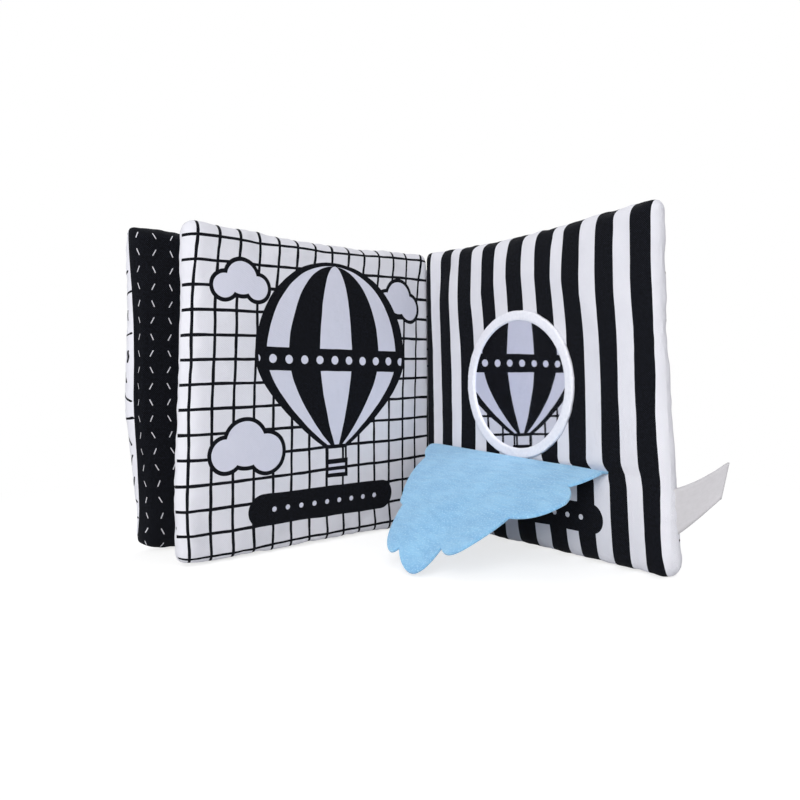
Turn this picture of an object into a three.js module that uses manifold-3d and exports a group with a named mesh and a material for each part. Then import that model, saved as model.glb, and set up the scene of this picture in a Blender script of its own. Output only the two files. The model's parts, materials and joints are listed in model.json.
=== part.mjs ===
import * as THREE from 'three';
import { mergeVertices } from 'three/addons/utils/BufferGeometryUtils.js';
import Module from 'manifold-3d';

// A soft cloth book of three stuffed leaves, standing half open on its lower edges.
// Lengths are in millimetres and angles in degrees, with +Z up. The gutter line, where the two
// open pages meet, is vertical, and the reader looks along +Y.

// Leaf sizes: the two covers are cut alike, and the middle leaf a little narrower
const leafWidth = 150;
const middleLeafTrim = 3.2;
const middleLeafWidth = leafWidth - middleLeafTrim;
const leafHeight = 150;
const edgeRadius = 6.4;
const gutterSeamDepth = 1;
const gutterFrontTuck = 1.5;
const gutterBackTuck = 14;
const crownRise = 1;
const crownReach = 28;
const clothThickness = 0.9;
const cornerRadius = 3.7;
const sideDrawIn = 2;
const footCut = 0.5;

// Clearances
const seamGap = 0.3;
const waddingGap = 0.3;
const waddingGutterInset = 4;
const gutterGap = 0.3;

// Leaf places: each angle is turned from straight towards the reader
const stripedLeafAngle = 35.1;
const gridLeafAngle = 47;
const frontCoverAngle = 54.8;
const coverSlack = 1.5;
const coverShift = 5.8;

// Spine cloth
const spineThickness = 1;
const spineLap = 6;
const spineMiddleDepth = 10.6;
const spineBulge = 1.6;
const spineEndDrop = 1.5;
const gutterTapeThickness = 0.8;
const gutterTapeStart = 3.9;
const gutterTapeEndGap = 0.8;

// Flap: a scalloped cloth caught in the seam across the striped page
const flapSeamHeight = 39.4;
const flapSeamDip = 1;
const flapSeamReach = 5;
const flapFoldLength = 126;
const flapFoldStart = 10;
const flapFoldRise = 6.2;
const flapTipRise = 0.3;
const flapStandOff = 4.1;
const flapReach = 83;
const flapThickness = 1.6;
const flapHemThickness = 1.2;
const flapStartAngle = 17;
const flapEndAngle = 40.5;

// Mirror: a round of film held under a padded ring of binding tape
const mirrorPlace = 72.7;
const mirrorFootAboveSeam = 2.2;
const ringOuterRadius = 35.5;
const mirrorHeight = flapSeamHeight + mirrorFootAboveSeam + ringOuterRadius;
const ringBandWidth = 5;
const ringHeight = 1.6;
const filmThickness = 0.4;
const filmOverlap = 2.5;

// Label: a folded tape caught in the outer edge seam of the striped leaf
const labelSeamFoot = 16.6;
const labelSeamHeight = 18.2;
const labelTopLength = 25.5;
const labelFootLength = 21;
const labelRise = 12.6;
const labelEndHeight = 14.6;
const labelTapeThickness = 0.4;
const labelFoldGap = 0.5;
const labelAngle = 66;

// Counts of steps along curves
const fieldSteps = 6;
const lowFieldSteps = 2;
const highFieldSteps = 4;
const spineSteps = 8;
const ringSteps = 48;
const ringBandSteps = 7;
const flapSteps = 12;
const scallopSteps = 6;
const hemSteps = 4;
const labelSteps = 5;
const labelFoldSteps = 3;

const wasm = await Module();
wasm.setup();

function clamp(value) {
  return Math.min(Math.max(value, 0), 1);
}

function cloth(hex, roughness = 0.9, metalness = 0) {
  return new THREE.MeshStandardMaterial({ color: hex, roughness, metalness });
}

function merged(geometry) {
  const bare = geometry.clone();
  bare.deleteAttribute('normal');
  bare.deleteAttribute('uv');
  return mergeVertices(bare);
}

// A closed geometry with its faces made to point out
function outward(geometry) {
  const solid = merged(geometry);
  const index = solid.index.array;
  const [a, b, c] = [new THREE.Vector3(), new THREE.Vector3(), new THREE.Vector3()];
  let volume = 0;
  for (let i = 0; i < index.length; i += 3) {
    [a, b, c].forEach((corner, k) => corner.fromBufferAttribute(solid.attributes.position, index[i + k]));
    volume += a.dot(b.cross(c));
  }
  if (volume < 0) {
    for (let i = 0; i < index.length; i += 3) {
      [index[i], index[i + 1]] = [index[i + 1], index[i]];
    }
  }
  return solid;
}

function piece(name, geometry, material) {
  const solid = outward(geometry);
  solid.computeVertexNormals();
  const mesh = new THREE.Mesh(solid, material);
  mesh.name = name;
  return mesh;
}

function toManifold(geometry) {
  const solid = merged(geometry);
  const vertProperties = new Float32Array(solid.attributes.position.array);
  const triVerts = new Uint32Array(solid.index.array);
  return new wasm.Manifold(new wasm.Mesh({ numProp: 3, vertProperties, triVerts }));
}

function fromManifold(solid) {
  const mesh = solid.getMesh();
  const geometry = new THREE.BufferGeometry();
  geometry.setAttribute('position', new THREE.Float32BufferAttribute(mesh.vertProperties, 3));
  geometry.setIndex([...mesh.triVerts]);
  return geometry;
}

// A closed body between two like grids of points, joined all round their borders
function closedGrid(front, back) {
  const rows = front.length;
  const columns = front[0].length;
  const points = [...front.flat(), ...back.flat()];
  const at = (side, i, j) => side * rows * columns + i * columns + j;
  const index = [];
  const quad = (a, b, c, d) => index.push(a, b, c, a, c, d);
  for (let i = 0; i + 1 < rows; i++) {
    for (let j = 0; j + 1 < columns; j++) {
      quad(at(0, i, j), at(0, i + 1, j), at(0, i + 1, j + 1), at(0, i, j + 1));
      quad(at(1, i, j), at(1, i, j + 1), at(1, i + 1, j + 1), at(1, i + 1, j));
    }
  }
  for (let i = 0; i + 1 < rows; i++) {
    const last = columns - 1;
    quad(at(0, i, 0), at(1, i, 0), at(1, i + 1, 0), at(0, i + 1, 0));
    quad(at(0, i, last), at(0, i + 1, last), at(1, i + 1, last), at(1, i, last));
  }
  for (let j = 0; j + 1 < columns; j++) {
    const last = rows - 1;
    quad(at(0, 0, j), at(0, 0, j + 1), at(1, 0, j + 1), at(1, 0, j));
    quad(at(0, last, j), at(1, last, j), at(1, last, j + 1), at(0, last, j + 1));
  }
  const geometry = new THREE.BufferGeometry();
  geometry.setAttribute(
    'position',
    new THREE.Float32BufferAttribute(points.flatMap((p) => p.toArray()), 3),
  );
  geometry.setIndex(index);
  return geometry;
}

// Places round a half-round edge, as shares of a quarter turn, and along the gutter's tuck
const edgeTurnShares = [0, 0.2, 0.45, 0.72];
const gutterTuckShares = [0, 0.03, 0.107, 0.35, 0.66];

function quarterRound(share) {
  return Math.sqrt(1 - (1 - clamp(share)) ** 2);
}

// Heights up a leaf, from one sewn edge or cut to the other end. Each knows how far round the
// half-round edge it lies, or its height where there is no edge.
function sewnEdge(top) {
  const list = edgeTurnShares.map((share) => ({ turn: (share * Math.PI) / 2, top }));
  return top ? list.reverse() : list;
}

function field(low, high, steps) {
  const list = [];
  for (let k = 0; k <= steps; k++) {
    list.push({ at: low + ((high - low) * k) / steps });
  }
  return list;
}

function wholeRise(steps) {
  return [...sewnEdge(false), ...field(edgeRadius, leafHeight - edgeRadius, steps), ...sewnEdge(true)];
}

function heightAt(station, depth) {
  if (station.at !== undefined) {
    return { z: station.at, round: 1 };
  }
  const inward = edgeRadius - (edgeRadius - depth) * Math.cos(station.turn);
  return { z: station.top ? leafHeight - inward : inward, round: Math.sin(station.turn) };
}

// Front, seam and back of a leaf at a distance from the gutter, as depths behind the plane of the
// page. The page stays flat up to the gutter line, and the face behind it tucks in round to it.
function gutterSection(x, depth) {
  const share = clamp(x / gutterBackTuck);
  const seamFall = edgeRadius - gutterSeamDepth;
  const backRise = edgeRadius + seamFall;
  return {
    x,
    front: gutterSeamDepth * (1 - quarterRound(x / gutterFrontTuck)) + depth,
    seam: gutterSeamDepth + seamFall * share * share * (3 - share - share),
    back: gutterSeamDepth + backRise * quarterRound(share) - depth,
  };
}

// Sections across a leaf at a depth of cloth, from near the gutter to the outer edge
function sectionsAcross(depth, start, width = leafWidth) {
  const tuck = gutterBackTuck - start;
  const list = gutterTuckShares.map((share) => gutterSection(start + tuck * share, depth));
  const fieldEnd = width - edgeRadius;
  for (const { at } of field(gutterBackTuck, fieldEnd, fieldSteps)) {
    list.push(gutterSection(at, depth));
  }
  for (const share of [...edgeTurnShares].reverse()) {
    const turn = (share * Math.PI) / 2;
    const swell = (edgeRadius - depth) * Math.sin(turn);
    list.push({
      x: fieldEnd + (edgeRadius - depth) * Math.cos(turn),
      front: edgeRadius - swell,
      seam: edgeRadius,
      back: edgeRadius + swell,
    });
  }
  return list;
}

function crownShare(at, length) {
  const inward = clamp((Math.min(at, length - at) - edgeRadius) / crownReach);
  return 1 - (1 - inward) ** 2;
}

function seamDip(height) {
  return flapSeamDip * clamp(1 - Math.abs(height - flapSeamHeight) / flapSeamReach) ** 2;
}

// The leaf's outline: sides drawn in between the corners, and the corners rounded
function outline(x, z, width) {
  const across = x / width;
  const up = z / leafHeight;
  const bow = (share) => (4 * share * (1 - share)) ** 2;
  let inX = Math.min(x, width - x);
  let inZ = Math.min(z, leafHeight - z);
  if (inX < cornerRadius && inZ < cornerRadius) {
    const a = 1 - inX / cornerRadius;
    const b = 1 - inZ / cornerRadius;
    inX = cornerRadius * (1 - a * Math.sqrt(1 - (b * b) / 2));
    inZ = cornerRadius * (1 - b * Math.sqrt(1 - (a * a) / 2));
  }
  const flatX = x < width / 2 ? inX : width - inX;
  const flatZ = z < leafHeight / 2 ? inZ : leafHeight - inZ;
  const drawX = x < width / 2 ? 0 : sideDrawIn * bow(up) * (1 - across - across) ** 5;
  const drawZ = sideDrawIn * bow(across) * (1 - up - up) ** 5;
  return [flatX + drawX, flatZ + drawZ];
}

// One face of a stuffed leaf: side is -1 for the page's own face and 1 for the face behind it,
// and back is the way that the leaf's back points along its own Y
function leafFace(sections, rise, depth, rim, { side, back, dipped = false, width = leafWidth }) {
  return sections.map((section) => rise.map((station) => {
    const { z, round } = heightAt(station, depth);
    const across = crownShare(section.x, width);
    const crown = crownRise * across * crownShare(z, leafHeight);
    const swell = (side < 0 ? section.seam - section.front : section.back - section.seam) * round;
    const full = swell + crown - (dipped ? seamDip(z) * across : 0);
    const [flatX, flatZ] = outline(section.x, z, width);
    const y = back * (section.seam + side * Math.max(full, rim));
    return new THREE.Vector3(flatX, y, flatZ - footCut);
  }));
}

// A cloth shell, cut flat where it stands on the floor
function clothPanel(rise, faces) {
  const rim = seamGap / 2;
  const outside = sectionsAcross(0, 0, faces.width);
  const inside = sectionsAcross(clothThickness, clothThickness, faces.width);
  const shell = closedGrid(
    leafFace(outside, rise, 0, rim, faces),
    leafFace(inside, rise, clothThickness, rim, faces),
  );
  const floor = new THREE.BoxGeometry(leafWidth + leafWidth, leafHeight, leafHeight);
  floor.translate(leafWidth / 2, 0, -leafHeight / 2);
  return fromManifold(toManifold(outward(shell)).subtract(toManifold(floor)));
}

function waddingPad(rise, { back, dipped, width }) {
  const depth = clothThickness + waddingGap;
  const sections = sectionsAcross(depth, waddingGutterInset, width);
  return closedGrid(
    leafFace(sections, rise, depth, waddingGap, { side: -1, back, dipped, width }),
    leafFace(sections, rise, depth, waddingGap, { side: 1, back, width }),
  );
}

// The heights of the striped page below and above the flap's seam
function lowRise(slot) {
  return [
    ...sewnEdge(false),
    ...field(edgeRadius, flapSeamHeight - flapSeamReach, lowFieldSteps),
    ...field(flapSeamHeight - flapSeamReach / 2, flapSeamHeight - slot, 1),
  ];
}

function highRise(slot) {
  return [
    ...field(flapSeamHeight + slot, flapSeamHeight + flapSeamReach / 2, 1),
    ...field(flapSeamHeight + flapSeamReach, leafHeight - edgeRadius, highFieldSteps),
    ...sewnEdge(true),
  ];
}

// A leaf's own frame: X runs from the gutter to the outer edge, Z up, and Y across the leaf
function leafFrame(angle, left) {
  const frame = new THREE.Group();
  frame.rotation.z = THREE.MathUtils.degToRad(left ? 270 - angle : angle - 90);
  const body = new THREE.Group();
  body.position.x = gutterGap;
  frame.add(body);
  return [frame, body];
}

const fullRise = wholeRise(fieldSteps);
const book = new THREE.Group();

// Back cover leaf, with the striped page towards the reader
const [stripedLeaf, stripedBody] = leafFrame(stripedLeafAngle, false);
book.add(stripedLeaf);
const hemSlot = flapHemThickness / 2 + seamGap;
const stripedFace = { side: -1, back: 1, dipped: true };
stripedBody.add(
  piece('striped_panel_upper', clothPanel(highRise(hemSlot), stripedFace), cloth(0xe0dfe6)),
  piece('striped_panel_lower', clothPanel(lowRise(hemSlot), stripedFace), cloth(0xd6d6de)),
  piece('back_cover_outer_cloth', clothPanel(fullRise, { side: 1, back: 1 }), cloth(0xd4d4d8)),
  piece(
    'back_cover_wadding',
    waddingPad([...lowRise(0), ...highRise(0).slice(1)], { back: 1, dipped: true }),
    cloth(0xf0f0ee, 1),
  ),
);

// Middle leaf, with the grid page towards the reader
const [gridLeaf, gridBody] = leafFrame(gridLeafAngle, true);
const middleLeaf = { back: -1, width: middleLeafWidth };
book.add(gridLeaf);
gridBody.add(
  piece('grid_panel', clothPanel(fullRise, { side: -1, ...middleLeaf }), cloth(0xcdcddb)),
  piece('middle_leaf_rear_cloth', clothPanel(fullRise, { side: 1, ...middleLeaf }), cloth(0xd4d4d8)),
  piece('middle_leaf_wadding', waddingPad(fullRise, middleLeaf), cloth(0xf0f0ee, 1)),
);

// Front cover leaf, hinged behind the middle leaf
const [frontCover, coverBody] = leafFrame(frontCoverAngle, true);
frontCover.position.set(0, -(edgeRadius + edgeRadius + coverSlack), 0);
frontCover.position.applyEuler(gridLeaf.rotation);
coverBody.position.x = coverShift;
book.add(frontCover);
coverBody.add(
  piece('front_cover_inner_cloth', clothPanel(fullRise, { side: -1, back: -1 }), cloth(0x17171b)),
  piece('front_cover_outer_cloth', clothPanel(fullRise, { side: 1, back: -1 }), cloth(0xd4d4d8)),
  piece('front_cover_wadding', waddingPad(fullRise, { back: -1 }), cloth(0xf0f0ee, 1)),
);

// Spine cloth in two runs, from each cover's back face to the tape behind the middle leaf
function spineSeat(frame, body, back) {
  const backRise = edgeRadius + edgeRadius - gutterSeamDepth;
  const face = gutterSeamDepth + backRise * quarterRound(spineLap / gutterBackTuck);
  const off = face + seamGap + spineThickness / 2;
  const seat = new THREE.Vector3(body.position.x + spineLap, back * off, 0);
  return seat.applyEuler(frame.rotation).add(frame.position);
}

function spineRun(from, to) {
  const chord = new THREE.Vector3().subVectors(to, from);
  const back = new THREE.Vector3(-chord.y, chord.x, 0).normalize();
  const bend = new THREE.Vector3().addVectors(from, to).multiplyScalar(1 / 2);
  bend.addScaledVector(back, spineBulge + spineBulge);
  const curve = new THREE.QuadraticBezierCurve3(from, bend, to);
  const top = leafHeight - footCut - sideDrawIn - spineEndDrop;
  const sheet = (side) => curve.getPoints(spineSteps).map((point, k) => {
    const along = curve.getTangent(k / spineSteps);
    const off = new THREE.Vector3(along.y, -along.x, 0).multiplyScalar((side * spineThickness) / 2);
    return [spineEndDrop, top].map((z) => new THREE.Vector3(point.x + off.x, point.y + off.y, z));
  });
  return closedGrid(sheet(1), sheet(-1));
}

const backSeat = spineSeat(stripedLeaf, stripedBody, 1);
const coverSeat = spineSeat(frontCover, coverBody, -1);
const spineMiddle = new THREE.Vector3(0, -spineMiddleDepth, 0).applyEuler(gridLeaf.rotation);
const spineStep = new THREE.Vector3().subVectors(coverSeat, backSeat).normalize();
spineStep.multiplyScalar(seamGap);
book.add(
  piece('spine_cloth_rear', spineRun(spineMiddle.clone().sub(spineStep), backSeat), cloth(0xd4d4d8)),
  piece('spine_cloth_front', spineRun(coverSeat, spineMiddle.clone().add(spineStep)), cloth(0xd4d4d8)),
);

// Gutter tape: the middle leaf's seam allowance, which holds it to the spine cloth
const tapeEnd = spineMiddleDepth - spineThickness - gutterTapeEndGap;
const tapeHeight = leafHeight - footCut - sideDrawIn - spineEndDrop - spineEndDrop;
const tape = new THREE.BoxGeometry(gutterTapeThickness, tapeEnd - gutterTapeStart, tapeHeight);
tape.translate(0, -(tapeEnd + gutterTapeStart) / 2, spineEndDrop + tapeHeight / 2);
gridLeaf.add(piece('gutter_tape', tape, cloth(0xe6e6ea)));

// Mirror film and its ring, on the crown of the striped page
const mirrorSeat = new THREE.Group();
mirrorSeat.position.set(mirrorPlace, -crownRise - seamGap, mirrorHeight - footCut);
mirrorSeat.rotation.x = Math.PI;
stripedBody.add(mirrorSeat);
const ringInnerRadius = ringOuterRadius - ringBandWidth;
const filmRadius = ringInnerRadius + filmOverlap;
const film = new THREE.CylinderGeometry(filmRadius, filmRadius, filmThickness, ringSteps);
film.translate(0, filmThickness / 2, 0);

function ringProfile() {
  const rebate = filmThickness + seamGap;
  const middle = ringInnerRadius + ringBandWidth / 2;
  const profile = [new THREE.Vector2(filmRadius + seamGap, 0)];
  for (let k = 0; k <= ringBandSteps; k++) {
    const turn = (Math.PI * k) / ringBandSteps;
    const rise = rebate + (ringHeight - rebate) * Math.sin(turn);
    profile.push(new THREE.Vector2(middle + (ringBandWidth / 2) * Math.cos(turn), rise));
  }
  profile.push(new THREE.Vector2(filmRadius + seamGap, rebate));
  profile.push(profile[0].clone());
  return profile;
}

mirrorSeat.add(
  piece('mirror_film', film, cloth(0xc8ccd4, 0.04, 1)),
  piece('mirror_binding_ring', new THREE.LatheGeometry(ringProfile(), ringSteps), cloth(0xe4e7f0)),
);

// Flap frame: X along the fold line from the gutter, -Y out from the page, Z up from the fold
const flapFrame = new THREE.Group();
const foldStartHeight = flapSeamHeight + flapFoldRise - footCut;
flapFrame.position.set(0, -flapStandOff, foldStartHeight);
const foldSlope = Math.atan((flapFoldRise - flapTipRise) / flapFoldLength);
flapFrame.rotation.y = foldSlope;
stripedBody.add(flapFrame);

// The droop of the flap: an even bend from its start angle to its end angle
const startTurn = -THREE.MathUtils.degToRad(flapStartAngle);
const endTurn = -THREE.MathUtils.degToRad(flapEndAngle);
const bendRate = (endTurn - startTurn) / flapReach;

function droop(along) {
  const turn = startTurn + bendRate * along;
  return {
    out: (Math.sin(turn) - Math.sin(startTurn)) / bendRate,
    up: (Math.cos(startTurn) - Math.cos(turn)) / bendRate,
    turn,
  };
}

function flapSheet(side) {
  const overrun = flapReach / flapSteps;
  const rows = [];
  for (let k = 0; k <= flapSteps + 1; k++) {
    const along = k * overrun;
    const at = droop(along);
    const off = (side * flapThickness) / 2;
    const out = at.out - off * Math.sin(at.turn);
    const up = at.up + off * Math.cos(at.turn);
    rows.push([0, flapFoldLength + overrun].map((x) => new THREE.Vector3(x, -out, up)));
  }
  return rows;
}

// Scallops round the flap: end and bend of each, as shares of the fold's length and the reach
const scallopShares = [
  [0.956, 0.211, 1.005, 0.145],
  [0.887, 0.541, 1.11, 0.347],
  [0.737, 0.819, 0.894, 0.839],
  [0.579, 0.907, 0.754, 1.137],
  [0.398, 0.646, 0.479, 0.994],
];
const flapLastBendShares = [0.237, 0.472];

function flapOutline() {
  const path = new THREE.Path();
  path.moveTo(flapFoldLength, 0);
  for (const [endX, endS, bendX, bendS] of scallopShares) {
    path.quadraticCurveTo(
      bendX * flapFoldLength, bendS * flapReach, endX * flapFoldLength, endS * flapReach,
    );
  }
  const [lastX, lastS] = flapLastBendShares;
  path.quadraticCurveTo(lastX * flapFoldLength, lastS * flapReach, flapFoldStart, 0);
  const corners = path.getPoints(scallopSteps);
  const overFold = flapThickness;
  const start = droop(0);
  const points = corners.map((p) => new THREE.Vector2(p.x, droop(p.y).out));
  points.push(new THREE.Vector2(flapFoldStart, start.out - overFold));
  points.push(new THREE.Vector2(flapFoldLength, start.out - overFold));
  return new THREE.Shape(points);
}

function flapSolid() {
  const sheet = outward(closedGrid(flapSheet(1), flapSheet(-1)));
  const depth = flapReach + flapReach;
  const cutter = new THREE.ExtrudeGeometry(flapOutline(), { depth, bevelEnabled: false });
  cutter.translate(0, 0, -flapReach);
  cutter.applyMatrix4(new THREE.Matrix4().makeScale(1, -1, 1));
  return fromManifold(toManifold(sheet).intersect(toManifold(outward(cutter))));
}

flapFrame.add(piece('cloud_flap', flapSolid(), cloth(0x8dbfe2, 0.95)));

// The flap's sewn hem: from inside the page's cloth, through the seam, up to the fold line
function hemSheet(side) {
  const foldOut = flapStandOff - flapHemThickness / 2 - seamGap;
  const rows = [];
  for (let k = 0; k <= hemSteps; k++) {
    const share = k / hemSteps;
    const x = flapFoldStart + (flapFoldLength - flapFoldStart) * share;
    const seam = flapSeamHeight - footCut;
    const fold = foldStartHeight - Math.tan(foldSlope) * x;
    const off = (side * flapHemThickness) / 2;
    rows.push([
      new THREE.Vector3(x, clothThickness / 2, seam + off),
      new THREE.Vector3(x, -crownRise - seamGap, seam + off),
      new THREE.Vector3(x, -foldOut, fold + off),
    ]);
  }
  return rows;
}

stripedBody.add(piece('flap_hem', closedGrid(hemSheet(1), hemSheet(-1)), cloth(0x8dbfe2, 0.95)));

// Label: the tape runs out, folds round and comes back, bent back and up from the seam
const labelFrame = new THREE.Group();
labelFrame.position.set(leafWidth + seamGap, edgeRadius, labelSeamFoot - footCut);
labelFrame.rotation.z = THREE.MathUtils.degToRad(labelAngle);
stripedBody.add(labelFrame);

function labelRows(depthSide) {
  const foldRadius = (labelFoldGap + labelTapeThickness) / 2;
  const off = (depthSide * labelTapeThickness) / 2;
  const path = [];
  for (let k = 0; k <= labelSteps; k++) {
    path.push({ share: k / labelSteps, x: 0, y: foldRadius + off });
  }
  for (let k = 1; k < labelFoldSteps; k++) {
    const turn = (Math.PI * k) / labelFoldSteps;
    const reach = foldRadius + off;
    path.push({ share: 1, x: reach * Math.sin(turn), y: reach * Math.cos(turn) });
  }
  for (let k = labelSteps; k >= 0; k--) {
    path.push({ share: k / labelSteps, x: 0, y: -foldRadius - off });
  }
  return path.map(({ share, x, y }) => {
    const height = labelSeamHeight + (labelEndHeight - labelSeamHeight) * share;
    const foot = labelRise * share;
    return [
      new THREE.Vector3(labelFootLength * share + x, y, foot),
      new THREE.Vector3(labelTopLength * share + x, y, foot + height),
    ];
  });
}

labelFrame.add(piece('label_tape', closedGrid(labelRows(1), labelRows(-1)), cloth(0xdcdce0, 0.6)));

// The origin is the middle of the book's footprint, on the floor
const span = new THREE.Box3().setFromObject(book, true);
const middle = span.getCenter(new THREE.Vector3());
book.position.set(-middle.x, -middle.y, 0);
const group = new THREE.Group();
group.add(book);

export default group;
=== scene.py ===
import json
import math

import bmesh
import bpy
import numpy as np
from mathutils import Matrix, Vector, noise
from mathutils.kdtree import KDTree


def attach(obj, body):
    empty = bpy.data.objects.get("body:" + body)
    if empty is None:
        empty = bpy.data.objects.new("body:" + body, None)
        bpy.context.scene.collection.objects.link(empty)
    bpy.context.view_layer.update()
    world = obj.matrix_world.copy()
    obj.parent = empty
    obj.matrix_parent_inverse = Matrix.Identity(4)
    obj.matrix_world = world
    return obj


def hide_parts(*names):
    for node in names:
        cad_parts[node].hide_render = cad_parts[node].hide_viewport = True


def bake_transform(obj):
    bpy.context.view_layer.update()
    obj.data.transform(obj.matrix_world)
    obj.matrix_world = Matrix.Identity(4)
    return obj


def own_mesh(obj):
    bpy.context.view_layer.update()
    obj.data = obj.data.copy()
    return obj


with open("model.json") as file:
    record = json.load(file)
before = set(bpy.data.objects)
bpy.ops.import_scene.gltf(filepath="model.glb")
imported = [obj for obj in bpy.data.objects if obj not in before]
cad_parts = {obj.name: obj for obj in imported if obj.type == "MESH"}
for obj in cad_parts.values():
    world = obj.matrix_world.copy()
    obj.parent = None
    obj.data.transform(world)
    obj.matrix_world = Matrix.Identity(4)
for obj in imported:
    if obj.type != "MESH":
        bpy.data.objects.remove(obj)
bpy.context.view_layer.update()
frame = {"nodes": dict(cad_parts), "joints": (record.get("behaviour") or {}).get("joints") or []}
joints = {joint["name"]: joint for joint in frame["joints"]}


# Back cover leaf. The real one is two squares of plain-woven cotton, sewn face to face round
# three sides, turned right side out over polyester wadding and closed along the gutter. The
# striped face is in two parts, with the flap's hem caught in the seam between them.
leaf_width = 0.150
leaf_height = 0.150
edge_radius = 0.0064
gutter_seam_depth = 0.001
gutter_front_tuck = 0.0015
gutter_back_tuck = 0.014
crown_rise = 0.001
crown_reach = 0.028
leaf_corner = 0.0037
side_draw_in = 0.002
draw_in_power = 5
rise_start = 0.6
foot_cut = 0.0005
foot_squareness = 0.45
flap_seam_height = 0.0394
flap_seam_dip = 0.001
flap_seam_reach = 0.005
cloth_thickness = 0.0008
cloth_edge_angle = math.radians(50)
nearly_zero = 0.00001
held_weight = 0.99
gutter_gap = 0.0003
cloth_map_size = 0.165
cloth_map_margin = 0.005
gutter_cells = 8
field_cells = 50
edge_cells = 4
low_field_cells = 13
high_field_cells = 41


def deselect_all():
    bpy.ops.object.select_all(action="DESELECT")


def make_active(piece):
    deselect_all()
    piece.select_set(True)
    bpy.context.view_layer.objects.active = piece


def apply_modifier(piece, kind, **settings):
    """Adds a modifier with its settings and applies it to the mesh."""
    make_active(piece)
    added = piece.modifiers.new(kind.lower(), kind)
    for name, value in settings.items():
        setattr(added, name, value)
    bpy.ops.object.modifier_apply(modifier=added.name)


def coordinates(piece):
    points = np.empty(len(piece.data.vertices) * 3)
    piece.data.vertices.foreach_get("co", points)
    return points.reshape(-1, 3)


def set_coordinates(piece, points):
    piece.data.vertices.foreach_set("co", points.ravel())
    piece.data.update()


def vertex_normals(piece):
    normals = np.empty(len(piece.data.vertices) * 3)
    piece.data.vertices.foreach_get("normal", normals)
    return normals.reshape(-1, 3)


def smooth(piece):
    make_active(piece)
    bpy.ops.object.shade_smooth()


def quarter_round(share):
    return np.sqrt(1 - (1 - np.clip(share, 0, 1)) ** 2)


def smooth_share(value):
    share = np.clip(value, 0, 1)
    return share * share * (3 - 2 * share)


def lumps(points, scale, seed=0):
    """A smooth noise at each of some points, from about -1 to 1."""
    return np.array([noise.noise(Vector(p) * scale + Vector((seed, 0, 0))) for p in points])


def bare_grid(name, columns, rows):
    """A flat grid of size 1 with no UV map. Each piece of cloth or tape is shaped from one."""
    deselect_all()
    bpy.ops.mesh.primitive_grid_add(x_subdivisions=columns, y_subdivisions=rows, size=1)
    piece = bpy.context.object
    piece.name = name
    piece.data.name = name
    while piece.data.uv_layers:
        piece.data.uv_layers.remove(piece.data.uv_layers[0])
    return piece


def map_cloth(piece, flat):
    """Gives a piece its cloth map, from where each of its points lies on the flat cloth."""
    cloth_map = piece.data.uv_layers.new(name="cloth")
    for loop in piece.data.loops:
        cloth_map.data[loop.index].uv = flat[loop.vertex_index] / cloth_map_size


def sections_across(width):
    """Places across a leaf from the gutter to the outer seam. Each has its distance, its seam's
    depth behind the page, how far its front and back stand off the seam, and the flat cloth's
    own distance, which runs on round the edge."""
    turn = np.linspace(0, math.pi / 2, gutter_cells + 1)
    tuck = gutter_back_tuck * (1 - np.cos(turn))
    field_end = width - edge_radius
    field = np.linspace(gutter_back_tuck, field_end, field_cells + 1)[1:]
    edge = np.linspace(0, math.pi / 2, edge_cells + 1)[1:]
    inner = np.concatenate([tuck, field])
    share = np.clip(inner / gutter_back_tuck, 0, 1)
    seam = gutter_seam_depth + (edge_radius - gutter_seam_depth) * share**2 * (3 - 2 * share)
    front = gutter_seam_depth * (1 - quarter_round(inner / gutter_front_tuck))
    back = gutter_seam_depth + (2 * edge_radius - gutter_seam_depth) * quarter_round(share)
    swell = edge_radius * np.cos(edge)
    return {
        "x": np.concatenate([inner, field_end + edge_radius * np.sin(edge)]),
        "seam": np.concatenate([seam, np.full(edge_cells, edge_radius)]),
        "front": np.concatenate([seam - front, swell]),
        "back": np.concatenate([back - seam, swell]),
        "flat": np.concatenate([inner, field_end + edge_radius * edge]),
    }


def places_up():
    """Places up a leaf, from its foot seam to its top seam, as sections_across gives them."""
    turn = np.linspace(0, math.pi / 2, edge_cells + 1)[:-1]
    low = np.linspace(edge_radius, flap_seam_height, low_field_cells + 1)[:-1]
    high = np.linspace(flap_seam_height, leaf_height - edge_radius, high_field_cells + 1)
    foot = edge_radius * (1 - np.cos(turn))
    foot_flat = edge_radius * (1 + turn - math.pi / 2)
    ones = np.ones(len(low) + len(high))
    return {
        "z": np.concatenate([foot, low, high, leaf_height - foot[::-1]]),
        "round": np.concatenate([np.sin(turn), ones, np.sin(turn)[::-1]]),
        "flat": np.concatenate([foot_flat, low, high, leaf_height - foot_flat[::-1]]),
    }


def crown_share(at, length):
    inward = np.clip((np.minimum(at, length - at) - edge_radius) / crown_reach, 0, 1)
    return 1 - (1 - inward) ** 2


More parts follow.
